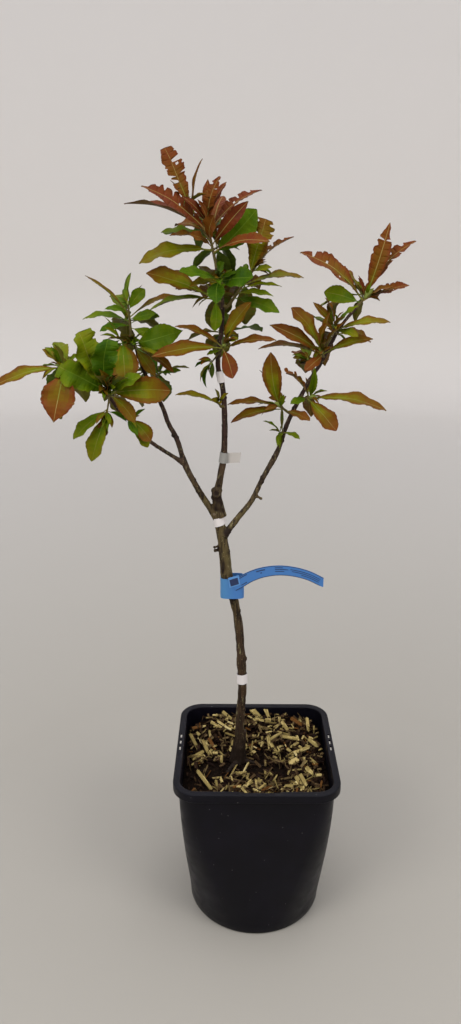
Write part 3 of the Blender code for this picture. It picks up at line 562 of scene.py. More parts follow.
limbs = {"trunk": Limb("trunk", TRUNK_AXIS, TRUNK_GIRTH, Vector((0, 0, 1)))}
BOUGHS = [("right_bough", "trunk", RIGHT_HEIGHT, RIGHT_AXIS, RIGHT_GIRTH),
          ("left_bough", "trunk", LEFT_HEIGHT, LEFT_AXIS, LEFT_GIRTH),
          ("left_low_bough", "left_bough", LOW_HEIGHT, LOW_AXIS, LOW_GIRTH)]
for name, carrier, height, axis, girth in BOUGHS:
    i, _ = limbs[carrier].station(height)
    way = (Vector(axis[0]) - limbs[carrier].path[i]).normalized()
    start, out = limbs[carrier].leave(height, way)
    limbs[name] = Limb(name, [start, start + KNUCKLE_OUT * out + KNUCKLE_ALONG * way] + axis, girth, out)
print("limbs:", {name: round(sum((b - a).length for a, b in zip(limb.path, limb.path[1:])))
                 for name, limb in limbs.items()}, "mm long")

# %% [markdown]
# ## Trunk and boughs
# The stem was grafted, and each bough leaves it in a clean fork. The first run of a bough's axis
# is carried straight back into the middle of what carries it. Loose tubes would meet in hard
# creases, so fine tubes, knots and pruning stubs are put in one mesh and remeshed as one volume,
# which melts them together. The remeshed skin is then pushed in and out along its
# normals by stretched noise, for the grain and the lenticels of real bark.

# %% Knots, stubs and roots
# (limb, height, clock, lean, size, length): a knot is a bulge on a limb's side
KNOTS = [
    ("trunk", 262, 120, 20, 3.0, 1.0), ("trunk", 329, 95, 5, 3.4, 1.5), ("trunk", 391, 92, 10, 2.8, 1.2),
    ("trunk", 405, -60, 50, 3.4, 0.8), ("trunk", 432, 40, 40, 4.5, 1.0), ("trunk", 447, -70, 45, 4.0, 0.6),
    ("trunk", 466, 60, 30, 3.8, 0.8), ("trunk", 472, -95, 20, 2.4, 1.5), ("trunk", 517, -50, 60, 3.6, 0.8),
    ("trunk", 531, -78, 25, 4.6, 1.6), ("trunk", 538, -86, 20, 4.4, 2.4), ("trunk", 530, 40, 60, 3.6, 0.8),
    ("trunk", 545, 20, 60, 2.6, 0.7), ("trunk", 598, 70, 40, 2.4, 0.8), ("trunk", 640, 85, 20, 2.4, 1.2),
    ("trunk", 610, -80, 30, 2.2, 0.6), ("trunk", 700, -75, 20, 2.2, 0.8), ("trunk", 488, 75, 30, 4.0, 1.2),
    ("right_bough", 545, 60, 30, 3.3, 0.9), ("right_bough", 549, -60, 30, 3.1, 0.8),
    ("right_bough", 512, -60, 30, 2.6, 0.6), ("right_bough", 571, -50, 40, 2.7, 0.8),
    ("right_bough", 625, -70, 20, 2.6, 0.9), ("right_bough", 590, 80, 30, 2.4, 0.8),
    ("left_bough", 540, -70, 30, 3.0, 0.6), ("left_bough", 552, 60, 30, 2.9, 0.8),
    ("left_bough", 598, 70, 30, 2.9, 1.0), ("left_bough", 601, -80, 20, 2.9, 1.2),
    ("left_low_bough", 592, -60, 30, 2.4, 0.7), ("left_low_bough", 612, 60, 30, 2.1, 0.8),
]
SPURS = [("trunk", 469, -98, 10, 1.9, 4.2), ("trunk", 474, -80, 25, 1.7, 4.6),
         ("right_bough", 530, 92, 15, 1.7, 5.6)]
# A bough was cut back long ago: its stump, and the lips of bark that have grown round the cut
STUMP = [(-41, -3, 508), (-45, -4, 525), (-47.2, -5, 541)]
STUMP_RADII = (6.4, 5.8, 4.7)
SCAR_CENTRE, SCAR_RADIUS, SCAR_LIP = (-46.0, -9.2, 537.0), 3.4, 1.4
FLARE = [(-21, 0, 190), (-21, 0, 200), (-19.5, 0, 214), (-18, 0, 232)]
FLARE_RADII = (11.5, 9.2, 7.6, 6.6)
# (place, reach, age) of what else is dark and old, or pale and fresh
AGED = [((-40, -9, 522), 11.0, 0.5), ((-31, -5, 490), 6.0, 0.9), ((-46, -10, 537), 3.0, 0.9),
        ((-48, -9, 513), 3.6, -1.0), ((-37, -12, 448), 5.0, -0.6), ((-31, -9, 452), 3.0, -0.5),
        ((-26, -9, 372), 6.0, 0.7), ((-52, -5, 470), 6.0, 0.9),
        ((1, -6, 532), 4.5, 0.9)]
ROOTS = [((-22, -6, 192), (-30, -18, 190), (-38, -30, 187), 3.6),
         ((-12, -2, 191), (0, -6, 189), (14, -10, 186), 2.6),
         ((-24, 4, 191), (-34, 12, 189), (-42, 16, 186), 2.4),
         ((-16, 6, 191), (-8, 16, 189), (-4, 24, 186), 2.4)]
TUBE_SIDES = 28


def blob(centre, size, out, stretch):
    """A rounded bulge, longer along its way out."""
    bm = bmesh.new()
    bmesh.ops.create_icosphere(bm, subdivisions=2, radius=size)
    turn = out.to_track_quat("Z", "Y").to_matrix()
    points = [centre + turn @ Vector((v.co.x, v.co.y, v.co.z * stretch)) for v in bm.verts]
    faces = [tuple(v.index for v in f.verts) for f in bm.faces]
    bm.free()
    return points, faces


def fork_point(axis, carrier):
    """Where the first run of an axis, carried straight back, comes closest to its carrier's axis."""
    spot, back = Vector(axis[0]), (Vector(axis[0]) - Vector(axis[1])).normalized()
    line = spline(carrier.points, 6)
    steps = [spot + back * 0.5 * k for k in range(100)]
    return min(steps, key=lambda p: min((p - q).length for q in line))


def wood_solids():
    """Every closed part of the wood, still apart."""
    radii = [girth_at(TRUNK_GIRTH, s) for s in shares(spline(TRUNK_AXIS, 6))]
    solids = [tube(spline(limbs["trunk"].points, 6), radii, TUBE_SIDES, Vector((0, 0, 1)))]
    for name, carrier, _, axis, girth in BOUGHS:
        path = spline([fork_point(axis, limbs[carrier])] + axis, 6)
        collar = [1 + 0.25 * math.exp(-((share * 14) ** 2)) for share in shares(path)]
        radii = [max(girth_at(girth, s), 0.0) * wide for s, wide in zip(shares(path), collar)]
        solids.append(tube(path, radii, TUBE_SIDES))
    for name, height, clock, lean, size, stretch in KNOTS:
        spot, out = limbs[name].leave(height, heading(clock, lean))
        solids.append(blob(spot - out * size * 0.75, size, out, 0.6 + 0.4 * stretch))
    for name, height, clock, lean, size, length in SPURS:
        spot, out = limbs[name].leave(height, heading(clock, lean))
        path = [spot - out * 2, spot + out * length * 0.5, spot + out * length, spot + out * (length + 1.2)]
        solids.append(tube(path, [size * 1.2, size * 0.8, size * 1.1, size * 0.5], 12))
    solids.append(tube([Vector(p) for p in STUMP], STUMP_RADII, 16))
    solids.append(tube([Vector(p) for p in FLARE], FLARE_RADII, 20))
    for number in range(12):
        angle = math.tau * number / 12
        way = Vector((math.cos(angle), 0.35 * math.sin(angle), 1.2 * math.sin(angle)))
        solids.append(blob(Vector(SCAR_CENTRE) + SCAR_RADIUS * way, SCAR_LIP, Vector((0, 0, 1)), 1.0))
    for a, b, c, size in ROOTS:
        path = spline([(STEM_X, STEM_Y, 196), a, b, c], 5)
        solids.append(tube(path, [size * (1.2 - 0.7 * s) for s in shares(path)], 12))
    return solids


points, faces = [], []
for solid_points, solid_faces in wood_solids():
    start = len(points)
    points += solid_points
    faces += [tuple(i + start for i in face) for face in solid_faces]
wood = mesh_object("medlar_wood", points, faces)
remesh = wood.modifiers.new("melt", "REMESH")
remesh.mode = "VOXEL"
remesh.voxel_size = 0.75 * MM
settle(wood)
print("wood remeshed to", len(wood.data.vertices), "points")

# %% Relief of the bark


def fissures(p):
    """How far the bark stands out at a point in millimetres, from its grain and lumps."""
    grain = noise.noise(Vector((p.x / 1.7, p.y / 1.7, p.z / 9.0)))
    lumps = noise.noise(Vector((p.x / 5.0, p.y / 5.0, p.z / 8.0)) + Vector((7, 3, 1)))
    flutes = noise.noise(Vector((p.x / 3.4, p.y / 3.4, p.z / 60.0)) + Vector((2, 8, 4)))
    low = max(0.0, min(1.0, (560.0 - p.z) / 300.0))
    return (0.22 + 0.2 * low) * grain + (0.25 + 0.35 * low) * lumps + 1.1 * low * flutes


mesh = wood.data
mesh.update()
moved = np.array([v.co + v.normal * fissures(v.co / MM) * MM for v in mesh.vertices], dtype=np.float32)
mesh.vertices.foreach_set("co", moved.ravel())
ages = np.zeros(len(moved))
old = [(limbs[name].leave(height, heading(clock, lean))[0], 1.2 * size, 0.8)
       for name, height, clock, lean, size, _ in KNOTS + SPURS]
for place, reach, depth in old + AGED:
    away = np.linalg.norm(moved / MM - np.array(place), axis=1)
    ages += depth * np.exp(-((away / reach) ** 2))
mesh.attributes.new("age", "FLOAT", "POINT").data.foreach_set("value", np.clip(ages, -1.0, 1.0))
mesh.materials.append(bark)
mesh.update()
wood.name = "medlar_wood"
hand_over(wood, ("trunk", "right_bough", "left_bough", "left_low_bough"))

# %% [markdown]
# ## Where each twig and leaf goes
# A mass is a stem that leaves its limb, its shoots, and their leaves. The leaves that the front
# shows are named one by one in the table; those of the far side follow the golden angle. A leaf
# that would touch another mass or a limb is turned a little, in a fixed order, and left out when
# nothing helps. A second table gives the looks of the leaves that show: the step of the ramp in
# a leaf's middle and at its margin, where 0 is green and 9 is red, and how worn the leaf is.

# %% Leaf rule
LEAF_WIDTH = 0.36
LEAF_THICKNESS = 1.1
LEAF_FOLD = 0.28
LEAF_BOW = 0.07
LEAF_CLEAR = 0.6
BLADE_CLEAR = 0.4
LEAF_STATIONS = [(0.0, 0.06), (0.14, 0.08), (0.42, 0.9), (0.72, 0.9)]
BLADE_START = 0.34
TWIG_RADIUS = 1.5
TWIG_BEND = 3.0
BACK_SHARE = 4
BACK_LENGTHS = (46.0, 66.0)
BACK_LEANS = (-76.0, -34.0)
NUDGES = [(0, 0), (8, 0), (-8, 0), (0, 10), (0, -10), (14, 8), (-14, 8), (14, -8), (-14, -8),
          (22, 0), (-22, 0), (0, 20), (0, -20)]
MASSES = {
    "leader_tip_foliage": {
        "limb": "trunk", "at": None, "stem": (-12, 0, 50), "back": 9,
        "leaves": [(45, 8, 61, 80, 0.46), (77, 38, 70, 30), (-99, 8, 76, 32, 0.34), (-60, 45, 34, 40),
                   (41, 14, 58, 72), (10, 55, 44, 50), (-82, 12, 42, 25), (-84, -18, 54, 30),
                   (-54, 20, 83, 42), (50, -14, 70, 25), (-70, -5, 90, 12),
                   (13, 5, 50, 60, 0.42), (-20, 30, 30, 50), (-42, 30, 38, 60), (24, -12, 44, 20),
                   (2, -25, 40, 30)],
        "shoots": [(0.62, (-35, 5, 46), [(-40, -8, 50, 20), (6, -8, 57, 5), (-22, 5, 64, 60, 0.34),
                                         (62, 30, 27, 10)])],
    },
    "leader_front_foliage": {
        "limb": "trunk", "at": 757.0, "stem": (-5, 60, 15), "back": 0,
        "leaves": [(-95, 35, 36, 40), (81, 40, 44, 60, 0.48), (-174, 50, 32, 80, 0.6),
                   (-79, 30, 46, 40), (20, 55, 30, 50)],
        "shoots": [],
    },
    "leader_left_foliage": {
        "limb": "trunk", "at": 740.0, "stem": (-50, 8, 13), "back": 2,
        "leaves": [(180, 30, 34, 60), (-97, 10, 67, 18), (-84, -12, 40, 15), (-68, 5, 69, 40)],
        "shoots": [],
    },
    "leader_right_foliage": {
        "limb": "trunk", "at": 735.0, "stem": (36, 8, 50), "back": 4,
        "leaves": [(106, 15, 50, 38), (92, 30, 42, 40), (93, 16, 44, 25), (80, -8, 64, 18),
                   (47, 0, 64, 20), (16, 5, 57, 60, 0.44), (66, 35, 24, 40)],
        "shoots": [],
    },
    "leader_back_foliage": {
        "limb": "trunk", "at": 750.0, "stem": (10, -60, 18), "back": 8, "leaves": [], "shoots": [],
    },
    "leader_spur_foliage": {
        "limb": "trunk", "at": 690.0, "stem": (30, 50, 14), "back": 0,
        "leaves": [(-105, 30, 18, 30), (168, 15, 28, 60), (77, 5, 57, 22), (159, 34, 37, 80, 0.44),
                   (-95, 12, 75, 42), (-64, 5, 54, 30), (31, 10, 54, 70, 0.31), (50, 45, 24, 30)],
        "shoots": [(0.3, (-140, 15, 16), [(-158, 5, 30, 25)])],
    },
    "leader_low_foliage": {
        "limb": "trunk", "at": 631.0, "stem": (-30, 40, 12), "back": 0,
        "leaves": [(-74, 10, 48, 25)],
        "shoots": [],
    },
    "leader_low_back_foliage": {
        "limb": "trunk", "at": 700.0, "stem": (15, -60, 16), "back": 8, "leaves": [], "shoots": [],
    },
    "left_high_tip_foliage": {
        "limb": "left_bough", "at": None, "stem": (-4, 0, 34), "back": 5,
        "leaves": [(108, 20, 40, 40), (-98, 25, 34, 30), (78, 12, 34, 30), (-84, 5, 50, 28),
                   (90, 12, 32, 60), (65, 0, 57, 14), (-50, 0, 60, 12), (-70, 20, 26, 50),
                   (40, 12, 30, 70, 0.48), (-6, 0, 26, 10), (37, -5, 27, 5)],
        "shoots": [],
    },
    "left_high_foliage": {
        "limb": "left_bough", "at": 690.0, "stem": (-12, 58, 15), "back": 0,
        "leaves": [(140, 25, 40, 40), (121, 5, 50, 30), (103, 25, 42, 45), (74, 10, 56, 75, 0.4)],
        "shoots": [(0.7, (-62, 15, 18), [(-120, 25, 36, 50), (172, 38, 56, 88, 0.48),
                                         (-48, 5, 28, 10)])],
    },
    "left_back_foliage": {
        "limb": "left_bough", "at": 655.0, "stem": (15, -60, 18), "back": 6, "leaves": [], "shoots": [],
    },
    "left_low_foliage": {
        "limb": "left_low_bough", "at": 649.0, "stem": (0, 50, 14), "back": 0,
        "leaves": [(132, 25, 40, 45), (84, 18, 67, 78, 0.4), (60, 25, 44, 50), (-55, 20, 54, 65, 0.46),
                   (3, 20, 54, 75, 0.44), (-22, 8, 63, 70, 0.4)],
        "shoots": [(0.5, (-172, 25, 20), [(190, 15, 34, 40), (-129, 15, 46, 42), (-168, 8, 53, 60, 0.4)])],
    },
    "left_low_back_foliage": {
        "limb": "left_low_bough", "at": 642.0, "stem": (0, -60, 15), "back": 6, "leaves": [], "shoots": [],
    },
    "left_under_foliage": {
        "limb": "left_low_bough", "at": 627.0, "stem": (115, 30, 10), "back": 0,
        "leaves": [(140, 45, 26, 40), (136, 10, 32, 60, 0.5), (150, 12, 34, 60)],
        "shoots": [],
    },
    "left_outer_foliage": {
        "limb": "left_low_bough", "at": None, "stem": (-61, 12, 27), "back": 4,
        "leaves": [(-51, 0, 40, 35), (50, 25, 34, 50), (-164, -25, 62, 30), (-171, 38, 58, 86, 0.5),
                   (-104, 10, 70, 30)],
        "shoots": [],
    },
    "right_foot_foliage": {
        "limb": "right_bough", "at": 598.0, "stem": (-110, 45, 5), "back": 0,
        "leaves": [(100, 35, 24, 15), (-52, 10, 25, 20), (14, 20, 14, 30)],
        "shoots": [],
    },
    "right_low_foliage": {
        "limb": "right_bough", "at": 619.0, "stem": (-50, 25, 18), "back": 2,
        "leaves": [(106, 40, 34, 35), (-101, 10, 60, 34), (-85, 5, 60, 12), (-11, 16, 62, 88)],
        "shoots": [],
    },
    "right_mid_foliage": {
        "limb": "right_bough", "at": 638.0, "stem": (70, 35, 12), "back": 2,
        "leaves": [(-97, 50, 28, 40), (136, 25, 49, 60, 0.42), (95, 5, 86, 20), (-49, 25, 47, 30),
                   (3, 30, 38, 75, 0.4)],
        "shoots": [],
    },
    "right_high_foliage": {
        "limb": "right_bough", "at": 680.0, "stem": (-25, 55, 13), "back": 0,
        "leaves": [(-122, 45, 34, 35), (70, 5, 56, 32), (-82, 8, 70, 16), (-61, 5, 65, 50, 0.4),
                   (34, 10, 44, 30), (-35, 0, 58, 38), (9, 5, 44, 35), (-12, 25, 38, 45)],
        "shoots": [],
    },
    "right_back_foliage": {
        "limb": "right_bough", "at": 664.0, "stem": (5, -60, 18), "back": 6, "leaves": [], "shoots": [],
    },
    "right_upper_foliage": {
        "limb": "right_bough", "at": 704.0, "stem": (-20, 50, 14), "back": 0,
        "leaves": [(98, 40, 30, 40), (77, 12, 59, 24), (-26, 12, 36, 35), (-40, -5, 36, 58),
                   (45, 10, 34, 20)],
        "shoots": [],
    },
    "right_upper_back_foliage": {
        "limb": "right_bough", "at": 700.0, "stem": (20, -60, 14), "back": 5, "leaves": [], "shoots": [],
    },
    "right_tip_foliage": {
        "limb": "right_bough", "at": None, "stem": (42, 0, 15), "back": 4,
        "leaves": [(-74, 8, 42, 70, 0.44), (70, 5, 53, 28), (62, 20, 36, 18), (-53, 5, 85, 34, 0.4),
                   (40, 0, 79, 34), (-25, 20, 24, 50), (16, 0, 79, 74, 0.34)],
        "shoots": [],
    },
}

WHOLE, SLENDER, STRIP, BROAD, STUBBY, ROLLED, YOUNG, BUD = range(8)
RAGGED, BLUNT, FRINGED, SLIT, FORKED, SPLIT, NOTCHED, JAGGED = range(8, 16)
LOOKS = {
    "leader_tip_foliage": [
        (1.0, 1.5), (8.2, 7.2, SLENDER), (3.2, 5.0), (6.4, 7.2), (7.6, 9.0, SLENDER), (6.4, 7.4), (5.6, 7.2),
        (1.6, 2.2), (7.6, 8.8, FRINGED), (7.4, 8.6, FORKED), (7.6, 8.2, SLENDER), (7.2, 8.4, FORKED),
        (7.2, 8.0, SLENDER), (8.0, 8.8, SLENDER), (7.4, 8.4, SLENDER), (7.0, 8.0, SLENDER), (6.0, 7.4, STRIP),
        (6.4, 7.0, STRIP), (5.4, 8.0, BLUNT), (4.6, 5.6, ROLLED)],
    "leader_front_foliage": [(3.8, 5.4), (0.0, 0.5), (0.2, 0.9), (0.6, 1.5), (0.4, 1.2)],
    "leader_left_foliage": [(1.4, 2.4), (2.4, 3.4, SLENDER), (5.4, 7.0, RAGGED), (3.2, 6.6)],
    "leader_right_foliage": [(1.8, 2.4), (2.2, 3.2, SLENDER), (2.4, 3.4, SLENDER), (3.0, 6.0, SLENDER),
                             (5.4, 7.4, FORKED), (3.0, 6.4, JAGGED), (2.6, 3.6)],
    "leader_spur_foliage": [(2.0, 3.0), (1.4, 2.2), (5.4, 7.2, SLENDER), (7.0, 8.0), (3.8, 7.4, SLENDER),
                            (5.0, 6.8, SLENDER), (3.8, 6.4), (3.0, 4.2), (0.4, 1.2, ROLLED)],
    "leader_low_foliage": [(3.6, 5.2, SLENDER)],
    "left_high_tip_foliage": [(1.6, 2.4), (0.4, 1.2), (1.4, 2.2), (1.4, 2.4, SLENDER), (1.0, 1.8),
                              (4.2, 6.4, SLENDER), (3.4, 6.8, STRIP), (1.0, 1.6), (1.6, 2.0),
                              (1.6, 2.6, STRIP), (1.6, 3.0, STRIP)],
    "left_high_foliage": [(3.6, 6.2), (4.6, 7.4, SLENDER), (2.4, 4.2), (1.2, 1.6, BROAD), (0.4, 1.4),
                          (1.4, 7.6, BROAD), (2.0, 3.2, STRIP)],
    "left_low_foliage": [(4.0, 6.2), (2.2, 7.2), (1.8, 3.0), (1.0, 2.6, STUBBY), (-0.4, 0.6, STUBBY),
                         (1.6, 3.0, STUBBY), (4.2, 6.6), (2.0, 2.8), (2.2, 4.2)],
    "left_under_foliage": [(0.8, 1.4), (2.0, 6.8), (3.0, 3.8)],
    "left_outer_foliage": [(2.4, 5.6), (1.4, 2.6, STUBBY), (1.8, 2.8), (4.2, 8.4, BROAD),
                           (2.6, 7.0, SLENDER)],
    "right_foot_foliage": [(2.0, 3.2), (1.6, 2.6), (2.6, 3.2)],
    "right_low_foliage": [(5.4, 7.2), (3.6, 7.2, SLENDER), (5.6, 7.2, SLENDER), (2.6, 7.6)],
    "right_mid_foliage": [(1.6, 2.6), (2.8, 7.6), (3.8, 6.8, SLENDER), (4.4, 7.4, RAGGED),
                          (1.6, 2.6, ROLLED)],
    "right_high_foliage": [(6.4, 7.6), (3.2, 6.8, SLENDER), (4.4, 7.0, SLENDER), (4.8, 7.8, SLENDER),
                           (4.6, 7.2, SLENDER), (3.4, 7.6), (4.0, 7.4, SLENDER), (4.4, 7.0)],
    "right_upper_foliage": [(2.4, 3.8), (3.4, 6.2, SLENDER), (4.6, 7.2), (4.2, 6.8, SLENDER), (1.0, 3.0)],
    "right_tip_foliage": [(1.0, 2.8), (5.8, 7.8, NOTCHED), (5.6, 7.2), (4.4, 8.4, SPLIT), (6.0, 8.6, FORKED),
                          (8.0, 8.6), (5.4, 8.2, SLIT)],
}
FAR_LOOKS = {"leader": [(0.8, 1.6), (1.6, 2.8), (3.4, 5.8), (5.4, 7.2)],
             "left": [(1.0, 2.0), (2.0, 3.4), (2.2, 6.2)],
             "right": [(3.0, 6.8), (4.6, 7.2), (2.0, 3.6)]}
# Leaves of the far side that show past the others, by their number in the mass
FAR_SEEN = {
    ("leader_tip_foliage", 0): (0.8, 1.8, SLENDER), ("leader_tip_foliage", 3): (1.0, 2.0, SLENDER),
    ("leader_tip_foliage", 4): (6.6, 8.0, SLENDER), ("leader_tip_foliage", 5): (0.6, 1.6, SLENDER),
    ("leader_tip_foliage", 8): (1.0, 2.0, SLENDER), ("left_high_tip_foliage", 4): (1.4, 3.0, STRIP),
    ("left_back_foliage", 2): (2.0, 3.6, STRIP), ("right_low_foliage", 0): (1.4, 3.0, STRIP),
    ("right_low_foliage", 1): (2.4, 5.0, STRIP), ("right_tip_foliage", 0): (2.0, 3.0, SLENDER),
}


def leaf_frame(clock, lean, turn):
    """The leaf's way, and the direction its upper face looks in."""
    way = heading(clock, lean)
    up = Vector((0, 0, 1)) if abs(way.z) < 0.97 else Vector((math.copysign(1, -clock), 0, 0))
    lift = (up - up.dot(way) * way).normalized()
    face = Vector((0, -1, 0)) - (-way.y) * way
    rolled = math.radians(turn)
    if face.length > 0.05:
        lift = (math.cos(rolled) * lift + math.sin(rolled) * face.normalized()).normalized()
    return way, lift


def plain_leaf(root, clock, lean, length, turn, ratio=LEAF_WIDTH, start=0.0, grow=0.0):
    """The source's plain leaf, to test what a leaf would touch."""
    way, lift = leaf_frame(clock, lean, turn)
    side = way.cross(lift)
    width = length * ratio
    points, rings = [], []
    for share, spread in LEAF_STATIONS:
        if share < start:
            continue
        arch = 4 * share * (1 - share) * LEAF_BOW * length
        centre = root + way * share * length + lift * arch
        half = spread * width / 2 + grow
        rise = LEAF_FOLD * spread * width / 2
        thick = max(LEAF_THICKNESS, length * 0.014) / 2 + grow
        rings.append(list(range(len(points), len(points) + 4)))
        points += [centre + side * half + lift * rise, centre + lift * thick,
                   centre - side * half + lift * rise, centre - lift * thick]
    tip = len(points)
    points.append(root + way * (length + grow))
    faces = [tuple(reversed(rings[0]))]
    for lower, upper in zip(rings, rings[1:]):
        for i in range(4):
            j = (i + 1) % 4
            faces += [(lower[i], lower[j], upper[j]), (lower[i], upper[j], upper[i])]
    last = rings[-1]
    faces += [(last[i], last[(i + 1) % 4], tip) for i in range(4)]
    return points, faces


def tree_of(solid):
    """A search tree of one solid's faces."""
    return BVHTree.FromPolygons([Vector(p) for p in solid[0]], solid[1])


# %% Masses


class Mass:
    """One mass of foliage: a stem that carries a limb on, its shoots, and their leaves."""

    def __init__(self, name, plan):
        self.name, self.plan, self.placed = name, plan, []
        self.rng = random.Random(f"{SEED} {name}")
        self.own = random.Random(f"{SEED} {name} finish")
        self.far_looks = FAR_LOOKS[name.split("_")[0]]
        limb = limbs[plan["limb"]]
        way = heading(*plan["stem"][:2])
        if plan["at"] is None:
            start, out = limb.leave_tip()
        else:
            start, out = limb.leave(plan["at"], way)
        self.out = out
        self.stem = self.shoot_path(start, out, way, plan["stem"][2])
        self.solids = [tree_of(tube(self.stem, [TWIG_RADIUS * r for r in (1.0, 1.0, 0.9, 0.75)], 6, out))]
        self.shoots = []
        for share, (clock, lean, length), leaves in plan["shoots"]:
            way = heading(clock, lean)
            self.shoots.append((self.shoot_path(self.along(self.stem, share), way, way, length), leaves))
        twigs = math.ceil(plan["back"] / BACK_SHARE)
        for number in range(twigs):
            share = 0.45 + 0.5 * (number + 0.5) / twigs
            clock = self.rng.uniform(-70, 70)
            way = heading(clock, self.rng.uniform(-65, -35))
            path = self.shoot_path(self.along(self.stem, share), way, way, self.rng.uniform(9, 14))
            self.shoots.append((path, None))
        for path, _ in self.shoots:
            self.solids.append(tree_of(tube(path, [TWIG_RADIUS * r for r in (0.7, 0.7, 0.65, 0.55)], 4)))

    @staticmethod
    def shoot_path(start, out, way, length):
        """Four points: straight out of what carries it, then bent towards its own way."""
        bend = min(TWIG_BEND, length * 0.3)
        knee = start + out * bend
        return [start, knee, knee + way * (length - bend) * 0.5, knee + way * (length - bend)]

    @staticmethod
    def along(path, share):
        """The point at a share of a four-point path."""
        place = share * (len(path) - 1)
        i = min(int(place), len(path) - 2)
        return path[i].lerp(path[i + 1], place - i)

    def roots(self, path, count, low):
        """Where the leaves of one shoot stand, from low on it to just below its tip."""
        return [self.along(path, low + (0.97 - low) * (i + 0.5) / count) for i in range(count)]

    def shown(self):
        """The leaves that the front shows, with their roots."""
        rows = []
        if self.plan["leaves"]:
            rows += zip(self.roots(self.stem, len(self.plan["leaves"]), 0.45), self.plan["leaves"])
        for path, leaves in self.shoots:
            if leaves:
                rows += zip(self.roots(path, len(leaves), 0.6), leaves)
        return rows

    def hidden(self):
        """The leaves of the far side: round their twigs by the golden angle."""
        twigs = [path for path, leaves in self.shoots if leaves is None]
        rows, number = [], 0
        for path in twigs:
            count = min(BACK_SHARE, self.plan["back"] - number)
            for root in self.roots(path, count, 0.5):
                clock = (number * 137.5 + self.rng.uniform(-15, 15)) % 360 - 180
                lean = self.rng.uniform(*BACK_LEANS)
                length = self.rng.uniform(*BACK_LENGTHS)
                rows.append((root, (clock, lean, length, self.rng.uniform(-25, 25))))
                number += 1
        return rows

    def grow(self, rows, others, looks):
        """Place each leaf that touches nothing, turned a little where that helps."""
        for number, (root, (clock, lean, *form)) in enumerate(rows):
            for d_clock, d_lean in NUDGES:
                shape = (root, clock + d_clock, lean + d_lean, *form)
                whole = tree_of(plain_leaf(*shape, grow=LEAF_CLEAR))
                if any(whole.overlap(other) for other in others):
                    continue
                blade = tree_of(plain_leaf(*shape, start=BLADE_START, grow=BLADE_CLEAR))
                if any(blade.overlap(own) for own in self.solids):
                    continue
                self.solids.append(tree_of(plain_leaf(*shape)))
                far = FAR_SEEN.get((self.name, number)) or self.own.choice(self.far_looks)
                self.placed.append((shape, looks[number] if looks else far))
                break


taken = []
for name in ("trunk", "right_bough", "left_bough", "left_low_bough",
             "lower_tie", "fork_tie", "middle_tie", "upper_tie", "loop_label"):
    data = frame["nodes"][name].data
    taken.append(tree_of(([v.co / MM for v in data.vertices], [tuple(f.vertices) for f in data.polygons])))
masses = [Mass(name, plan) for name, plan in MASSES.items()]
for rows in (Mass.shown, Mass.hidden):
    for mass in masses:
        others = taken + [tree for m in masses if m is not mass for tree in m.solids]
        mass.grow(rows(mass), others, LOOKS.get(mass.name) if rows is Mass.shown else None)
print("leaves placed:", sum(len(mass.placed) for mass in masses))

# %% [markdown]
# ## Leaf shapes
# Some thirty leaves are modelled with care and then dealt out. Each is a grid whose rows run
# along the side veins, so that a row here and there can be pressed in as a vein and the light
# catches the quilting between them. Margins wave and blades fold along the midrib. The blade is a closed
# lens, thin at its margin, with a stalk under its foot. The outline is one formula, widest
# before its middle and drawn out to a point. Insects have bitten the young leaves, so worn
# shapes lose a part of one side in steep steps, and a few cells inside are left out as holes.

# %% Leaf shape rule
ROWS = {WHOLE: 27, SLENDER: 27, STRIP: 24, BROAD: 27, ROLLED: 27, YOUNG: 9}
WORN_ROWS = 80
RIB_EDGE = 0.05
ACROSS = [-1.0, -0.84, -0.62, -0.34, -RIB_EDGE, RIB_EDGE, 0.34, 0.62, 0.84, 1.0]
STALK = 0.1
SIDE_VEINS = 9
VEIN_DEPTH = 0.009
VEIN_SLANT = 0.45
BLADE_THICK = 0.007
RIB_HALF = 0.008
WORN_SLANT = 0.2
FOOT_CURVE = 0.95
LEAF_SWAY = 0.055
# Per face: (first material, what the step is multiplied by, last step), for each part of a leaf
LAST = len(blades) - 1
BLADE, UNDER, RIB, SCALE = (0, FINER, LAST), (LAST + 1, 0.26, 2), (LAST + 4, 0.26, 2), (LAST + 7, 0.0, 0)


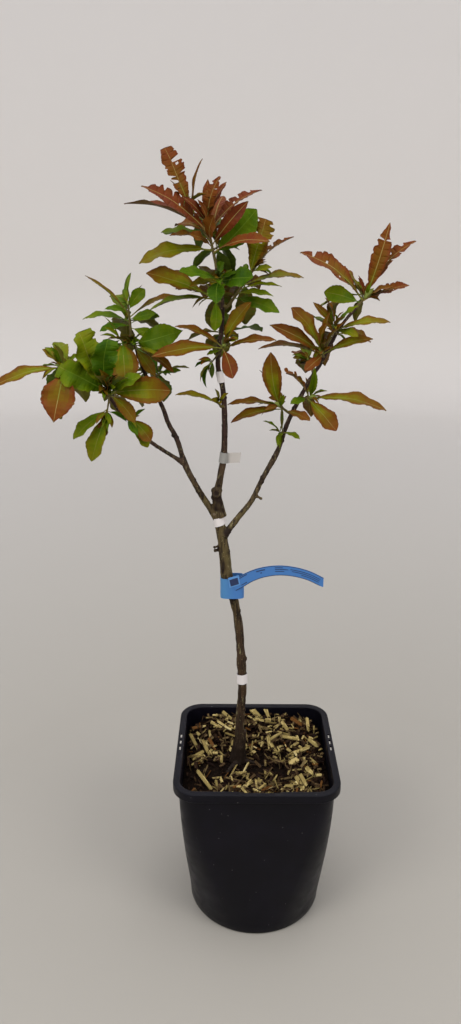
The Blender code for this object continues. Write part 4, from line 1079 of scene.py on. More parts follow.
class LeafShape:
    """One leaf of length 1 along X, its upper face towards Z."""

    def __init__(self, number, kind, width, wave, twist, droop, fold, point, cut=1.0, bites=(), holes=()):
        rng = random.Random(f"{SEED} leaf {number}")
        self.rows, self.worn = ROWS.get(kind, WORN_ROWS), kind not in ROWS
        self.width, self.wave, self.twist, self.droop, self.fold = width, wave, twist, droop, fold
        self.point, self.cut, self.bites = point, cut, bites
        self.sway = rng.uniform(-1, 1) * LEAF_SWAY
        self.phases = [rng.uniform(0, math.tau) for _ in range(4)]
        self.gone = {(int(self.rows * u) + i, column) for u, rows, column in holes for i in range(rows)}

    def half_width(self, u, side):
        """Half the blade's width at a share of the blade, on one side."""
        widest = FOOT_CURVE / (self.cut * (FOOT_CURVE + self.point))
        full = widest ** FOOT_CURVE * (1 - self.cut * widest) ** self.point
        spread = 0.5 * self.width * (u ** FOOT_CURVE) * ((1 - self.cut * u) ** self.point) / full
        for bitten, centre, reach, depth in self.bites:
            if bitten == side:
                spread *= 1.0 - depth * math.exp(-((u - centre) / reach) ** 6)
        spread *= 1 + 0.03 * math.sin(9.0 * u * math.tau + self.phases[0])
        if self.worn:
            spread *= 1 - 0.3 * max(0.0, noise.noise(Vector((15.0 * u, 3.0 * side, self.phases[1]))) - 0.1)
            spread *= 1 - 0.1 * max(0.0, noise.noise(Vector((43.0 * u, 5.0 * side, self.phases[2]))))
        return spread

    def spot(self, u, v, under):
        """A point of the blade: u runs from its foot to its tip and v from margin to margin."""
        side = 1 if v > 0 else -1
        half = self.half_width(u, side)
        rib = min(RIB_HALF * (1 - 0.75 * u), 0.35 * half)
        across = side * (rib + (half - rib) * (abs(v) - RIB_EDGE) / (1 - RIB_EDGE))
        slant = WORN_SLANT if self.worn else VEIN_SLANT
        s = min(STALK + (1 - STALK) * u + slant * abs(across) * (1 - u ** 4), 1.0)
        arch = 4 * s * (1 - s) * LEAF_BOW
        rise = self.fold * abs(across)
        rise += self.wave * half * v * v * math.sin(math.tau * (2.6 * u) + self.phases[1 if v > 0 else 2])
        rise += self.wave * 0.35 * half * math.sin(math.tau * 1.3 * u + self.phases[3])
        turn = self.twist * u
        y = across * math.cos(turn) - rise * math.sin(turn) + self.sway * 4 * s * (1 - s)
        z = arch + rise + across * math.sin(turn) - self.droop * u ** 3
        if under:
            z -= BLADE_THICK * (1 - abs(v)) ** 0.5 * (0.35 + 0.65 * min(1, 6 * u * (1 - u)))
        return s, y, z

    def corners(self):
        """The grid's points, and where each of them stands in the list."""
        points, index = [], {}
        for under in (False, True):
            for row in range(self.rows + 1):
                u = 0.004 + 0.985 * row / self.rows
                for column, v in enumerate(ACROSS):
                    if under and abs(v) == 1.0:
                        index[under, row, column] = index[False, row, column]
                        continue
                    x, y, z = self.spot(u, v, under)
                    if row % (self.rows // SIDE_VEINS) == 0 and 0.2 < abs(v) < 0.95:
                        z -= VEIN_DEPTH
                    if abs(v) == RIB_EDGE:
                        z += 0.004 * (1 - u) if not under else -0.007 * (1 - 0.6 * u)
                    index[under, row, column] = len(points)
                    points.append((x, y, z))
        return points, index

    def skin(self, index, tip):
        """The faces of both sides and of the walls of holes, each with its part and its edge."""
        rows = []
        for row in range(self.rows + 1):
            for column in range(len(ACROSS) - 1):
                middle = (ACROSS[column] + ACROSS[column + 1]) / 2
                edge = max(abs(middle) ** 1.4, 1.25 * row / self.rows - 0.3)
                if (row, column) in self.gone:
                    around = [((row, column), (row, column + 1), (row - 1, column)),
                              ((row, column + 1), (row + 1, column + 1), (row, column + 1)),
                              ((row + 1, column + 1), (row + 1, column), (row + 1, column)),
                              ((row + 1, column), (row, column), (row, column - 1))]
                    for a, b, beyond in around:
                        if beyond not in self.gone:
                            wall = tuple(index[under, *c] for under, c in
                                         ((False, a), (False, b), (True, b), (True, a)))
                            rows.append((wall, UNDER, edge))
                    continue
                for under in (False, True):
                    a, b = index[under, row, column], index[under, row, column + 1]
                    if row < self.rows:
                        face = (a, b, index[under, row + 1, column + 1], index[under, row + 1, column])
                    else:
                        face = (a, b, tip)
                    part = RIB if middle == 0 else (UNDER if under else BLADE)
                    rows.append((face if under else tuple(reversed(face)), part, edge))
        foot = [index[False, 0, c] for c in range(len(ACROSS))]
        foot += [index[True, 0, c] for c in range(len(ACROSS) - 2, 0, -1)]
        return rows + [(tuple(foot), RIB, 0.0)]

    def build(self, name):
        """The mesh object, with the numbers that pick each face's material."""
        points, index = self.corners()
        points.append((1.0, 0.0, self.spot(1.0, RIB_EDGE, False)[2]))
        rows = self.skin(index, len(points) - 1)
        path = [Vector((s, 4 * s * (1 - s) * self.sway, 4 * s * (1 - s) * LEAF_BOW - 0.006))
                for s in (0.0, 0.04, 0.08, 0.13, 0.2)]
        stalk, skin = tube(path, [0.017, 0.0125, 0.0115, 0.011, 0.006], 6)
        rows += [(tuple(i + len(points) for i in face), RIB, 0.0) for face in skin]
        points += stalk
        made = mesh_object(name, points, [row[0] for row in rows], scale=1.0)
        return marked(made, [row[1] for row in rows], [row[2] for row in rows])


def marked(made, looks, edges):
    """Keep a shape out of the scene, and write on its faces how they take a tint."""
    bpy.context.scene.collection.objects.unlink(made)
    for key, values in (("first", [look[0] for look in looks]), ("gain", [look[1] for look in looks]),
                        ("last", [look[2] for look in looks]), ("edge", edges)):
        made.data.attributes.new(key, "FLOAT", "FACE").data.foreach_set("value", [float(x) for x in values])
    return made


def bud_shape(name):
    """A pointed bud of length 1 along X, ribbed by the edges of its scales."""
    path = [Vector((x, 0.0, 0.03 * math.sin(3 * x))) for x in (0.0, 0.12, 0.3, 0.5, 0.7, 0.86, 1.0)]
    points, faces = tube(path, [0.1, 0.22, 0.29, 0.27, 0.18, 0.09, 0.02], 10,
                         swell=lambda number, angle: 1 + 0.1 * math.cos(5 * angle + number))
    return marked(mesh_object(name, points, faces, scale=1.0), [SCALE] * len(faces), [0.0] * len(faces))


# %% Model the leaf shapes
# kind, width, wave, twist, droop, fold, how pointed, then for worn leaves: how much of the
# outline is left, bites of the margin as (side, place, reach, depth), and holes as (place,
# rows, column)
SHAPES = [
    (WHOLE, 0.35, 0.12, 0.15, 0.03, 0.24, 0.8), (WHOLE, 0.37, 0.16, -0.20, 0.01, 0.20, 0.7),
    (WHOLE, 0.33, 0.14, 0.30, 0.05, 0.30, 0.95), (WHOLE, 0.36, 0.20, -0.10, 0.04, 0.18, 0.75),
    (WHOLE, 0.37, 0.14, 0.05, 0.02, 0.16, 0.85), (WHOLE, 0.33, 0.18, -0.30, 0.06, 0.32, 0.8),
    (WHOLE, 0.36, 0.14, 0.15, -0.02, 0.26, 0.7),
    (SLENDER, 0.25, 0.10, 0.20, 0.05, 0.26, 0.85), (SLENDER, 0.23, 0.16, -0.25, 0.02, 0.30, 1.0),
    (SLENDER, 0.26, 0.14, 0.10, 0.07, 0.22, 0.9),
    (STRIP, 0.09, 0.20, 0.60, 0.04, 0.50, 0.9), (STRIP, 0.08, 0.20, -0.50, -0.04, 0.70, 1.0),
    (BROAD, 0.42, 0.14, 0.05, 0.03, 0.14, 1.2), (BROAD, 0.41, 0.20, -0.15, 0.05, 0.18, 1.1),
    (ROLLED, 0.20, 0.10, 0.35, 0.10, 1.10, 1.0), (ROLLED, 0.18, 0.16, -0.40, 0.16, 1.30, 0.9),
    (YOUNG, 0.26, 0.10, 0.20, 0.05, 0.60, 1.0), (YOUNG, 0.24, 0.16, -0.20, 0.00, 0.90, 1.1),
    (YOUNG, 0.28, 0.12, 0.10, 0.08, 0.40, 0.9), (YOUNG, 0.22, 0.14, 0.35, 0.10, 0.70, 1.2),
    (YOUNG, 0.30, 0.18, -0.10, 0.02, 0.50, 0.8),
    (STUBBY, 0.38, 0.40, 0.30, 0.14, 0.50, 0.6, 0.88, ((1, 0.98, 0.03, 0.5), (-1, 0.80, 0.02, 0.2)), ()),
    (STUBBY, 0.40, 0.45, -0.35, 0.18, 0.40, 0.7, 0.84, ((-1, 0.97, 0.04, 0.6), (1, 0.88, 0.015, 0.3)), ()),
    (STUBBY, 0.34, 0.50, 0.50, 0.10, 0.70, 0.8, 0.95, ((-1, 0.60, 0.04, 0.3), (1, 0.72, 0.03, 0.3)), ()),
    (JAGGED, 0.40, 0.16, 0.10, 0.02, 0.20, 0.4, 0.95,
     ((1, 0.50, 0.012, 0.4), (1, 0.66, 0.02, 0.3), (1, 0.80, 0.02, 0.35), (1, 0.93, 0.03, 0.5),
      (-1, 0.62, 0.012, 0.5), (-1, 0.76, 0.02, 0.3), (-1, 0.90, 0.025, 0.4)),
     ((0.7, 2, 6), (0.55, 3, 3))),
    (RAGGED, 0.31, 0.18, -0.15, 0.03, 0.28, 0.9, 0.92,
     ((1, 0.34, 0.009, 0.5), (1, 0.62, 0.03, 0.55), (1, 0.70, 0.009, 0.85), (-1, 0.80, 0.02, 0.5),
      (1, 0.90, 0.02, 0.4)), ((0.45, 2, 6), (0.56, 3, 5))),
    (RAGGED, 0.32, 0.22, 0.15, 0.02, 0.24, 0.9, 0.86,
     ((-1, 0.28, 0.012, 0.6), (-1, 0.50, 0.05, 0.35), (-1, 0.66, 0.009, 0.9),
      (-1, 0.84, 0.025, 0.55), (1, 0.74, 0.012, 0.35)), ((0.38, 3, 3),)),
    (RAGGED, 0.30, 0.18, 0.08, 0.04, 0.30, 0.9, 1.0,
     ((1, 0.46, 0.012, 0.35), (1, 0.82, 0.05, 0.6), (-1, 0.58, 0.009, 0.7), (-1, 0.93, 0.02, 0.5)), ()),
    (RAGGED, 0.32, 0.16, -0.08, 0.02, 0.22, 0.9, 0.9,
     ((-1, 0.40, 0.07, 0.3), (-1, 0.60, 0.009, 0.8), (-1, 0.74, 0.02, 0.6), (1, 0.86, 0.03, 0.6),
      (1, 0.55, 0.009, 0.4)), ((0.5, 3, 6), (0.7, 2, 5))),
    (BLUNT, 0.38, 0.12, 0.05, 0.02, 0.14, 0.45, 0.97,
     ((1, 0.43, 0.030, 0.9), (1, 0.51, 0.012, 0.85), (1, 0.64, 0.009, 0.25), (-1, 0.53, 0.009, 0.6),
      (-1, 0.66, 0.012, 0.2), (-1, 0.76, 0.035, 0.92), (-1, 0.90, 0.009, 0.25)),
     ((0.68, 3, 2), (0.3, 2, 6))),
    (FRINGED, 0.33, 0.10, 0.05, 0.03, 0.22, 0.9, 1.0,
     ((-1, 0.22, 0.009, 0.85), (-1, 0.40, 0.009, 0.8), (-1, 0.47, 0.02, 0.2), (-1, 0.57, 0.009, 0.5),
      (-1, 0.70, 0.02, 0.4), (-1, 0.80, 0.03, 0.25), (-1, 0.94, 0.04, 0.5), (1, 0.94, 0.04, 0.5)),
     ((0.45, 2, 3),)),
    (SLIT, 0.25, 0.08, 0.05, 0.02, 0.20, 1.0, 1.0,
     ((1, 0.735, 0.010, 0.95), (1, 0.65, 0.03, 0.25), (-1, 0.83, 0.075, 0.4), (-1, 0.735, 0.012, 0.8)), ()),
    (FORKED, 0.27, 0.10, -0.10, 0.03, 0.30, 0.9, 0.97,
     ((1, 0.46, 0.010, 0.4), (1, 0.62, 0.02, 0.6), (1, 0.82, 0.03, 0.5), (-1, 0.55, 0.012, 0.6),
      (-1, 0.72, 0.010, 0.95), (-1, 0.90, 0.02, 0.5)), ((0.5, 3, 5),)),
    (SPLIT, 0.32, 0.12, -0.10, 0.04, 0.24, 0.9, 1.0,
     ((-1, 0.82, 0.022, 0.92), (-1, 0.72, 0.010, 0.2), (1, 0.16, 0.04, 0.5), (1, 0.90, 0.02, 0.3)),
     ((0.18, 9, 5), (0.36, 2, 6), (0.60, 3, 3))),
    (NOTCHED, 0.33, 0.12, 0.10, 0.02, 0.26, 0.85, 1.0,
     ((1, 0.42, 0.06, 0.8), (1, 0.58, 0.012, 0.2), (-1, 0.90, 0.02, 0.3)), ((0.62, 2, 2),)),
]
leaf_shapes = bpy.data.collections.new("leaf_shapes")
for number, shape in enumerate(SHAPES):
    leaf_shapes.objects.link(LeafShape(number, *shape).build(f"leaf_shape_{number:02d}"))
leaf_shapes.objects.link(bud_shape("leaf_shape_bud"))
KINDS = {shape[0] for shape in SHAPES}
NUMBERS = {kind: [i for i, shape in enumerate(SHAPES) if shape[0] == kind] for kind in KINDS}
NUMBERS[BUD] = [len(SHAPES)]
most = max(len(made.data.polygons) for made in leaf_shapes.objects)
print(len(SHAPES), "leaf shapes of up to", most, "faces")

# %% [markdown]
# ## A tree of nodes that deals pieces out
# Leaves and straw are the same task: many copies of a few shapes, each with its own turn, size
# and colour. One Geometry Nodes tree does it. Points carry the turn, the reach,
# the number of the shape and the tint; the shapes carry, face by face, which material a tint
# stands for. Realize Instances makes plain mesh of it, and Set Material hands out the finishes.

# %% Dealing tree


def dealing_tree(name, finishes):
    """Copies of a collection's shapes on points, with a material for each face."""
    tree = bpy.data.node_groups.new(name, "GeometryNodeTree")
    face = tree.interface
    face.new_socket("Points", in_out="INPUT", socket_type="NodeSocketGeometry")
    face.new_socket("Shapes", in_out="INPUT", socket_type="NodeSocketCollection")
    face.new_socket("Patch size", in_out="INPUT", socket_type="NodeSocketFloat")
    face.new_socket("Patchiness", in_out="INPUT", socket_type="NodeSocketFloat")
    face.new_socket("Mesh", in_out="OUTPUT", socket_type="NodeSocketGeometry")
    given = add(tree, "NodeGroupInput").outputs
    read = {key: add(tree, "GeometryNodeInputNamedAttribute", {"Name": key}, data_type=kind).outputs[0]
            for key, kind in (("turn", "FLOAT_VECTOR"), ("reach", "FLOAT_VECTOR"), ("shape", "INT"),
                              ("tint", "FLOAT"), ("margin", "FLOAT"), ("first", "FLOAT"),
                              ("gain", "FLOAT"), ("last", "FLOAT"), ("edge", "FLOAT"))}
    shapes = add(tree, "GeometryNodeCollectionInfo",
                 {"Collection": given["Shapes"], "Separate Children": True, "Reset Children": True})
    turned = add(tree, "FunctionNodeEulerToRotation", {0: read["turn"]})
    dealt = add(tree, "GeometryNodeInstanceOnPoints",
                {"Points": given["Points"], "Instance": shapes.outputs[0], "Pick Instance": True,
                 "Instance Index": read["shape"], "Rotation": turned.outputs[0], "Scale": read["reach"]})
    geometry = add(tree, "GeometryNodeRealizeInstances", {0: dealt.outputs[0]}).outputs[0]
    spots = add(tree, "ShaderNodeTexNoise", {"Vector": add(tree, "GeometryNodeInputPosition").outputs[0],
                                             "Scale": given["Patch size"], "Detail": 1.0}).outputs[0]
    spots = add(tree, "ShaderNodeMath", {0: spots, 1: 0.5}, operation="SUBTRACT").outputs[0]
    step = add(tree, "ShaderNodeMath", {0: spots, 1: given["Patchiness"], 2: read["tint"]},
               operation="MULTIPLY_ADD").outputs[0]
    step = add(tree, "ShaderNodeMath", {0: read["edge"], 1: read["margin"], 2: step},
               operation="MULTIPLY_ADD").outputs[0]
    step = add(tree, "ShaderNodeMath", {0: step, 1: read["gain"]}, operation="MULTIPLY").outputs[0]
    step = add(tree, "ShaderNodeClamp", {"Value": step, "Min": 0.0, "Max": read["last"]}).outputs[0]
    step = add(tree, "ShaderNodeMath", {0: step, 1: read["first"]}, operation="ADD").outputs[0]
    number = add(tree, "FunctionNodeFloatToInt", {0: step}, rounding_mode="ROUND").outputs[0]
    for i, finish in enumerate(finishes):
        chosen = add(tree, "FunctionNodeCompare", {2: number, 3: i}, data_type="INT", operation="EQUAL")
        geometry = add(tree, "GeometryNodeSetMaterial", {"Geometry": geometry, "Selection": chosen.outputs[0],
                                                         "Material": finish}).outputs[0]
    add(tree, "NodeGroupOutput", {0: geometry})
    return tree


def deal(name, tree, rows, shapes, patch_mm, patchiness, sharp_above):
    """A piece dealt out from rows of (place, turn, reach, shape, tint, margin), in millimetres."""
    made = mesh_object(name, [row[0] for row in rows], [])
    for column, (key, kind) in enumerate((("turn", "FLOAT_VECTOR"), ("reach", "FLOAT_VECTOR"),
                                          ("shape", "INT"), ("tint", "FLOAT"), ("margin", "FLOAT")), 1):
        values = np.array([row[column] for row in rows]).ravel()
        field = "vector" if kind == "FLOAT_VECTOR" else "value"
        made.data.attributes.new(key, kind, "POINT").data.foreach_set(field, values)
    modifier = made.modifiers.new("deal", "NODES")
    modifier.node_group = tree
    given = {item.name: item.identifier for item in tree.interface.items_tree if item.in_out == "INPUT"}
    modifier[given["Shapes"]] = shapes
    modifier[given["Patch size"]] = 1.0 / (patch_mm * MM)
    modifier[given["Patchiness"]] = patchiness
    return settle(made, sharp_above)


# %% [markdown]
# ## Leaves
# Every placed leaf becomes one point. Each shoot ends in a tuft as a real whorl does: a bud,
# and small folded leaves of the tints of its neighbours.

# %% Deal out the leaves
# How many small leaves stand round a tip, and how long the longest is
TUFT = (7, 24.0)
FULL_TUFTS = {"left_low_foliage": (24, 40.0), "leader_front_foliage": (10, 26.0),
              "left_high_foliage": (16, 30.0), "right_high_foliage": (12, 24.0),
              "leader_right_foliage": (12, 24.0), "left_outer_foliage": (10, 28.0)}
YOUNG_SHORTEST = 8.0
BUD_LENGTHS = {"leader_tip_foliage": 13.0, "right_tip_foliage": 14.0, "right_high_foliage": 10.0,
               "right_mid_foliage": 9.0, "right_low_foliage": 9.0, "leader_spur_foliage": 7.0}
SMALL_BUD = 5.0
leaf_tree = dealing_tree("deal leaves", leaf_finishes)


def leaf_row(mass, look, root, clock, lean, length, turn, ratio=LEAF_WIDTH):
    """A point for one leaf. Its look is the step in its middle, the step at its margin and its kind."""
    way, lift = leaf_frame(clock, lean, turn)
    basis = Matrix((way, lift.cross(way), lift)).transposed()
    middle, margin, *kind = look
    shape = mass.own.choice(NUMBERS[kind[0] if kind else WHOLE])
    size = length * MM
    return (root, tuple(basis.to_euler()), (size, size * ratio / LEAF_WIDTH, size), shape,
            middle + mass.own.uniform(-0.3, 0.3), margin - middle)


def tuft_rows(mass):
    """A bud and small leaves round the tips of the mass's shoots."""
    rows = []
    near = [look for _, look in mass.placed] or mass.far_looks
    for number, path in enumerate([mass.stem] + [path for path, _ in mass.shoots]):
        way = (path[-1] - path[-2]).normalized()
        clock = math.degrees(math.atan2(way.x, way.z))
        lean = math.degrees(math.asin(max(-1.0, min(1.0, -way.y))))
        bud = SMALL_BUD if number else BUD_LENGTHS.get(mass.name, SMALL_BUD)
        rows.append(leaf_row(mass, (1.0, 1.0, BUD), path[-1] - way * 0.2 * bud, clock, lean, bud, 0.0))
        count, longest = TUFT if number else FULL_TUFTS.get(mass.name, TUFT)
        for _ in range(count):
            root = path[-1] - way * mass.own.uniform(0.3, 3.0)
            look = (*mass.own.choice(near)[:2], YOUNG)
            rows.append(leaf_row(mass, look, root, clock + mass.own.uniform(-75, 75),
                                 lean + mass.own.uniform(-40, 40),
                                 mass.own.uniform(YOUNG_SHORTEST, longest),
                                 mass.own.uniform(-10, 60)))
    return rows


for side in ("leader", "left", "right"):
    rows, replaced = [], []
    for mass in masses:
        if mass.name.startswith(side):
            rows += [leaf_row(mass, look, *shape) for shape, look in mass.placed] + tuft_rows(mass)
            replaced.append(mass.name)
    leaves = deal(f"{side}_leaves", leaf_tree, rows, leaf_shapes, 12.0, 2.6, 50.0)
    hand_over(leaves, replaced)

# %% [markdown]
# ## Twigs
# The stems and shoots that carry the leaves follow a path, so they are drawn as edges with a
# girth at each point, and the nodes sweep a circle along them.

# %% Twig tree
TWIG_SIDES = 10
twig_tree = bpy.data.node_groups.new("sweep twigs", "GeometryNodeTree")
twig_tree.interface.new_socket("Edges", in_out="INPUT", socket_type="NodeSocketGeometry")
twig_tree.interface.new_socket("Sides", in_out="INPUT", socket_type="NodeSocketInt")
twig_tree.interface.new_socket("Mesh", in_out="OUTPUT", socket_type="NodeSocketGeometry")
given = add(twig_tree, "NodeGroupInput").outputs
girth = add(twig_tree, "GeometryNodeInputNamedAttribute", {"Name": "girth"}, data_type="FLOAT").outputs[0]
lines = add(twig_tree, "GeometryNodeMeshToCurve", {0: given["Edges"]}).outputs[0]
ring = add(twig_tree, "GeometryNodeCurvePrimitiveCircle",
           {"Resolution": given["Sides"], "Radius": 1.0}).outputs[0]
swept = add(twig_tree, "GeometryNodeCurveToMesh", {"Curve": lines, "Profile Curve": ring, "Scale": girth,
                                                   "Fill Caps": True}).outputs[0]
whole = add(twig_tree, "GeometryNodeRealizeInstances", {0: swept}).outputs[0]
dressed = add(twig_tree, "GeometryNodeSetMaterial", {"Geometry": whole, "Material": shoot_skin}).outputs[0]
add(twig_tree, "NodeGroupOutput", {0: dressed})

# %% Sweep the twigs
sides = [item.identifier for item in twig_tree.interface.items_tree if item.name == "Sides"][0]
for side in ("leader", "left", "right"):
    points, edges, girths = [], [], []
    for mass in masses:
        if not mass.name.startswith(side):
            continue
        stem = [mass.stem[0] - mass.out * 2.0] + mass.stem
        for path, foot, tip in [(stem, 1.75, 1.0)] + [(path, 1.15, 0.7) for path, _ in mass.shoots]:
            curve = spline(path, 5)
            for number, (spot, share) in enumerate(zip(curve, shares(curve))):
                if number:
                    edges.append((len(points) - 1, len(points)))
                swelling = 1 + 0.12 * noise.noise(spot / 2.5)
                points.append(tuple(spot * MM))
                girths.append((foot + (tip - foot) * share) * swelling * MM)
    mesh = bpy.data.meshes.new(f"{side}_twigs")
    mesh.from_pydata(points, edges, [])
    mesh.attributes.new("girth", "FLOAT", "POINT").data.foreach_set("value", girths)
    twigs = bpy.data.objects.new(f"{side}_twigs", mesh)
    bpy.context.scene.collection.objects.link(twigs)
    modifier = twigs.modifiers.new("sweep", "NODES")
    modifier.node_group = twig_tree
    modifier[sides] = TWIG_SIDES
    settle(twigs, 60.0)
    hand_over(twigs)

# %% [markdown]
# ## Pot
# A moulded pot is one thin shell: nearly round at its foot and square with round corners at its
# rim, which turns out and down in a skirt. Rings of points follow one outline formula up the
# outside, over the rim and down the inside, and the drain holes and the slots in the rim are cut
# with a Boolean, as a drill would.

# %% Pot outline
POT_HEIGHT = 210.5
RIM_OUT = 6.5
WALL_HALF = 90.0
WALL_CORNER = 22.0
FOOT_RADIUS = 82.0
POT_WALL = 2.0
POT_FLOOR = 2.5
FINE = 5
RING_COUNT = 36 * FINE


def pot_ring(height, outset, level):
    """One ring of the pot: a circle at the foot that turns into a square with round corners."""
    share = min(max(height / POT_HEIGHT, 0.0), 1.0)
    square = (share * share * (3 - 2 * share)) ** 0.6
    straight = WALL_HALF - WALL_CORNER
    ring = []
    for i in range(RING_COUNT):
        quarter, step = divmod(i / FINE, 9)
        arc = math.radians(min(max(step - 2, 0), 5) * 18)
        if step < 2:
            flat = Vector((WALL_HALF, straight * (0.55 * step if step < 1 else 0.55 + 0.45 * (step - 1))))
        elif step > 7:
            flat = Vector((straight * (1 - 0.45 * (step - 7) if step < 8 else 0.55 * (9 - step)), WALL_HALF))
        else:
            flat = Vector((straight + WALL_CORNER * math.cos(arc), straight + WALL_CORNER * math.sin(arc)))
        outward = Vector((math.cos(arc), math.sin(arc)))
        angle = math.radians(10 * step)
        round_way = Vector((math.cos(angle), math.sin(angle)))
        spot = (flat + outset * outward) * square + round_way * (FOOT_RADIUS + outset) * (1 - square)
        spot.rotate(Matrix.Rotation(math.radians(90 * quarter), 2))
        ring.append([spot.x, spot.y, level])
    return ring


# %% Pot shell
NOTCH = (-18.0, 28.0)
NOTCH_DEPTH = 1.6
SKIRT_DEPTH = 10.0
WALL_RINGS = 22
top = POT_HEIGHT
levels = [(0.0, -14.0, 1.2), (0.0, -11.0, 0.0), (0.0, -3.4, 0.0), (0.6, -1.6, 0.5), (1.6, -0.6, 1.6),
          (3.2, 0.0, 3.2)]
for i in range(1, WALL_RINGS):
    rise = 3.2 + (top - 3.0 - 3.2) * i / WALL_RINGS
    levels.append((rise, 0.0, rise))
levels += [(top, 0.0, top - 3.0), (top, 0.6, top - 2.2), (top, 2.2, top - 1.9), (top, 4.3, top - 2.2),
           (top, 4.9, top - 3.2), (top, 5.0, top - SKIRT_DEPTH + 0.4), (top, 5.4, top - SKIRT_DEPTH),
           (top, 6.2, top - SKIRT_DEPTH), (top, RIM_OUT, top - SKIRT_DEPTH + 0.4), (top, RIM_OUT, top - 5.0),
           (top, RIM_OUT, top - 1.1), (top, 6.25, top - 0.35), (top, 5.7, top - 0.05), (top, 4.0, top),
           (top, 1.6, top - 0.15), (top, -0.4, top), (top, -1.3, top - 0.2), (top, -1.85, top - 0.8),
           (top, -POT_WALL, top - 1.8)]
for i in range(1, WALL_RINGS):
    rise = top - 1.8 - (top - 1.8 - POT_FLOOR) * i / WALL_RINGS
    levels.append((rise, -POT_WALL, rise))
levels.append((POT_FLOOR, -POT_WALL - 1.0, POT_FLOOR))
points, rings = [], []
for height, outset, level in levels:
    rings.append(list(range(len(points), len(points) + RING_COUNT)))
    for x, y, z in pot_ring(height, outset, level):
        if z > top - 2.5 and outset < 3.0 and y < 0 and NOTCH[0] < x < NOTCH[1]:
            edge = min(x - NOTCH[0], NOTCH[1] - x)
            z -= NOTCH_DEPTH * min(1.0, edge / 2.0)
        points.append((x, y, z))
pot = mesh_object("nursery_pot", points, [tuple(reversed(rings[0]))] + bridge(rings) + [tuple(rings[-1])],
                  [pot_plastic])

# %% Cut the drain holes and rim slots
DRAIN_HOLES = 6
DRAIN_RADIUS = 6.0
DRAIN_RING = 62.0
SLOT_PLACES = (-13.0, 0.0, 13.0)
SLOT_SIZE = (2.2, 8.5, 9.0)
points, faces = [], []
for i in range(DRAIN_HOLES):
    angle = math.tau * (i + 0.5) / DRAIN_HOLES
    centre = Vector((math.cos(angle), math.sin(angle), 0)) * DRAIN_RING
    ends = [centre + Vector((0, 0, level)) for level in (-2, POT_FLOOR + 2)]
    drill, skin = tube(ends, [DRAIN_RADIUS] * 2, 24)
    faces += [tuple(j + len(points) for j in face) for face in skin]
    points += drill
for side in (-1, 1):
    for along in SLOT_PLACES:
        corners = [(side * (WALL_HALF + 2.6) + x * SLOT_SIZE[0] / 2, along + 8.0 + y * SLOT_SIZE[1] / 2,
                    POT_HEIGHT - 1 + z * SLOT_SIZE[2] / 2)
                   for z in (-1, 1) for x, y in ((-1, -1), (1, -1), (1, 1), (-1, 1))]
        skin = [(3, 2, 1, 0), (4, 5, 6, 7), (0, 1, 5, 4), (1, 2, 6, 5), (2, 3, 7, 6), (3, 0, 4, 7)]
        faces += [tuple(j + len(points) for j in face) for face in skin]
        points += corners
cutter = mesh_object("pot_cutter", points, faces)
cut = pot.modifiers.new("cut", "BOOLEAN")
cut.operation = "DIFFERENCE"
cut.object = cutter
cut.solver = "EXACT"
settle(pot, 35.0)
bpy.data.objects.remove(cutter)
hand_over(pot, ("pot",))

# %% [markdown]
# ## Soil and straw
# The soil is a mound of fine crumbs. Chopped straw lies on it, heaped up towards the rear rim
# and thin in front, where watering has bared the soil. It is a mixture of flat ribbed chips and
# thin fibres that lie at all angles, the lower ones dark, for rot and for painted shade between the pieces, and the
# upper ones dry and pale. They are dealt out by the same nodes as the leaves.

# %% Heap of straw
MULCH_DEPTH = 3.5
MULCH_HEAP = 8.0
HEAP_FOOT = -10.0
HEAP_TOP = 75.0


def heap(y):
    """How thick the straw lies: a thin cover in front that heaps up towards the rear rim."""
    t = min(max((y - HEAP_FOOT) / (HEAP_TOP - HEAP_FOOT), 0.0), 1.0)
    return MULCH_DEPTH + MULCH_HEAP * t * t * (3 - 2 * t)


# %% Soil
SOIL_RINGS = 46
inset = -POT_WALL - GAP
points, rings = [], []
for level in (POT_FLOOR + GAP, 70.0, 130.0, 170.0, 183.5):
    rings.append(list(range(len(points), len(points) + RING_COUNT)))
    points += pot_ring(level, inset - (1.2 if level < 10 else 0.0), level)
for i in range(SOIL_RINGS):
    share = 1.0 - (i / SOIL_RINGS) ** 1.1
    rings.append(list(range(len(points), len(points) + RING_COUNT)))
    for x, y, _ in pot_ring(SOIL_TOP, inset, 0):
        spot = Vector((STEM_X + (x - STEM_X) * share, STEM_Y + (y - STEM_Y) * share, SOIL_TOP - 0.4))
        spot.z += (heap(spot.y) - MULCH_DEPTH) * 0.8 * min(1.0, 6.0 * (1.0 - share))
        spot.z -= 3.5 * max(0.0, share - 0.9) / 0.1
        spot.z += 1.2 * noise.noise(spot / 16.0) + 1.2 * noise.noise(spot / 5.0 + Vector((3, 1, 2)))
        points.append(tuple(spot))
soil = mesh_object("potting_soil_mound", points,
                   [tuple(reversed(rings[0]))] + bridge(rings) + [tuple(rings[-1])], [soil_finish])
soil.data.shade_smooth()
hand_over(soil, ("potting_soil",))

# %% Chip shapes


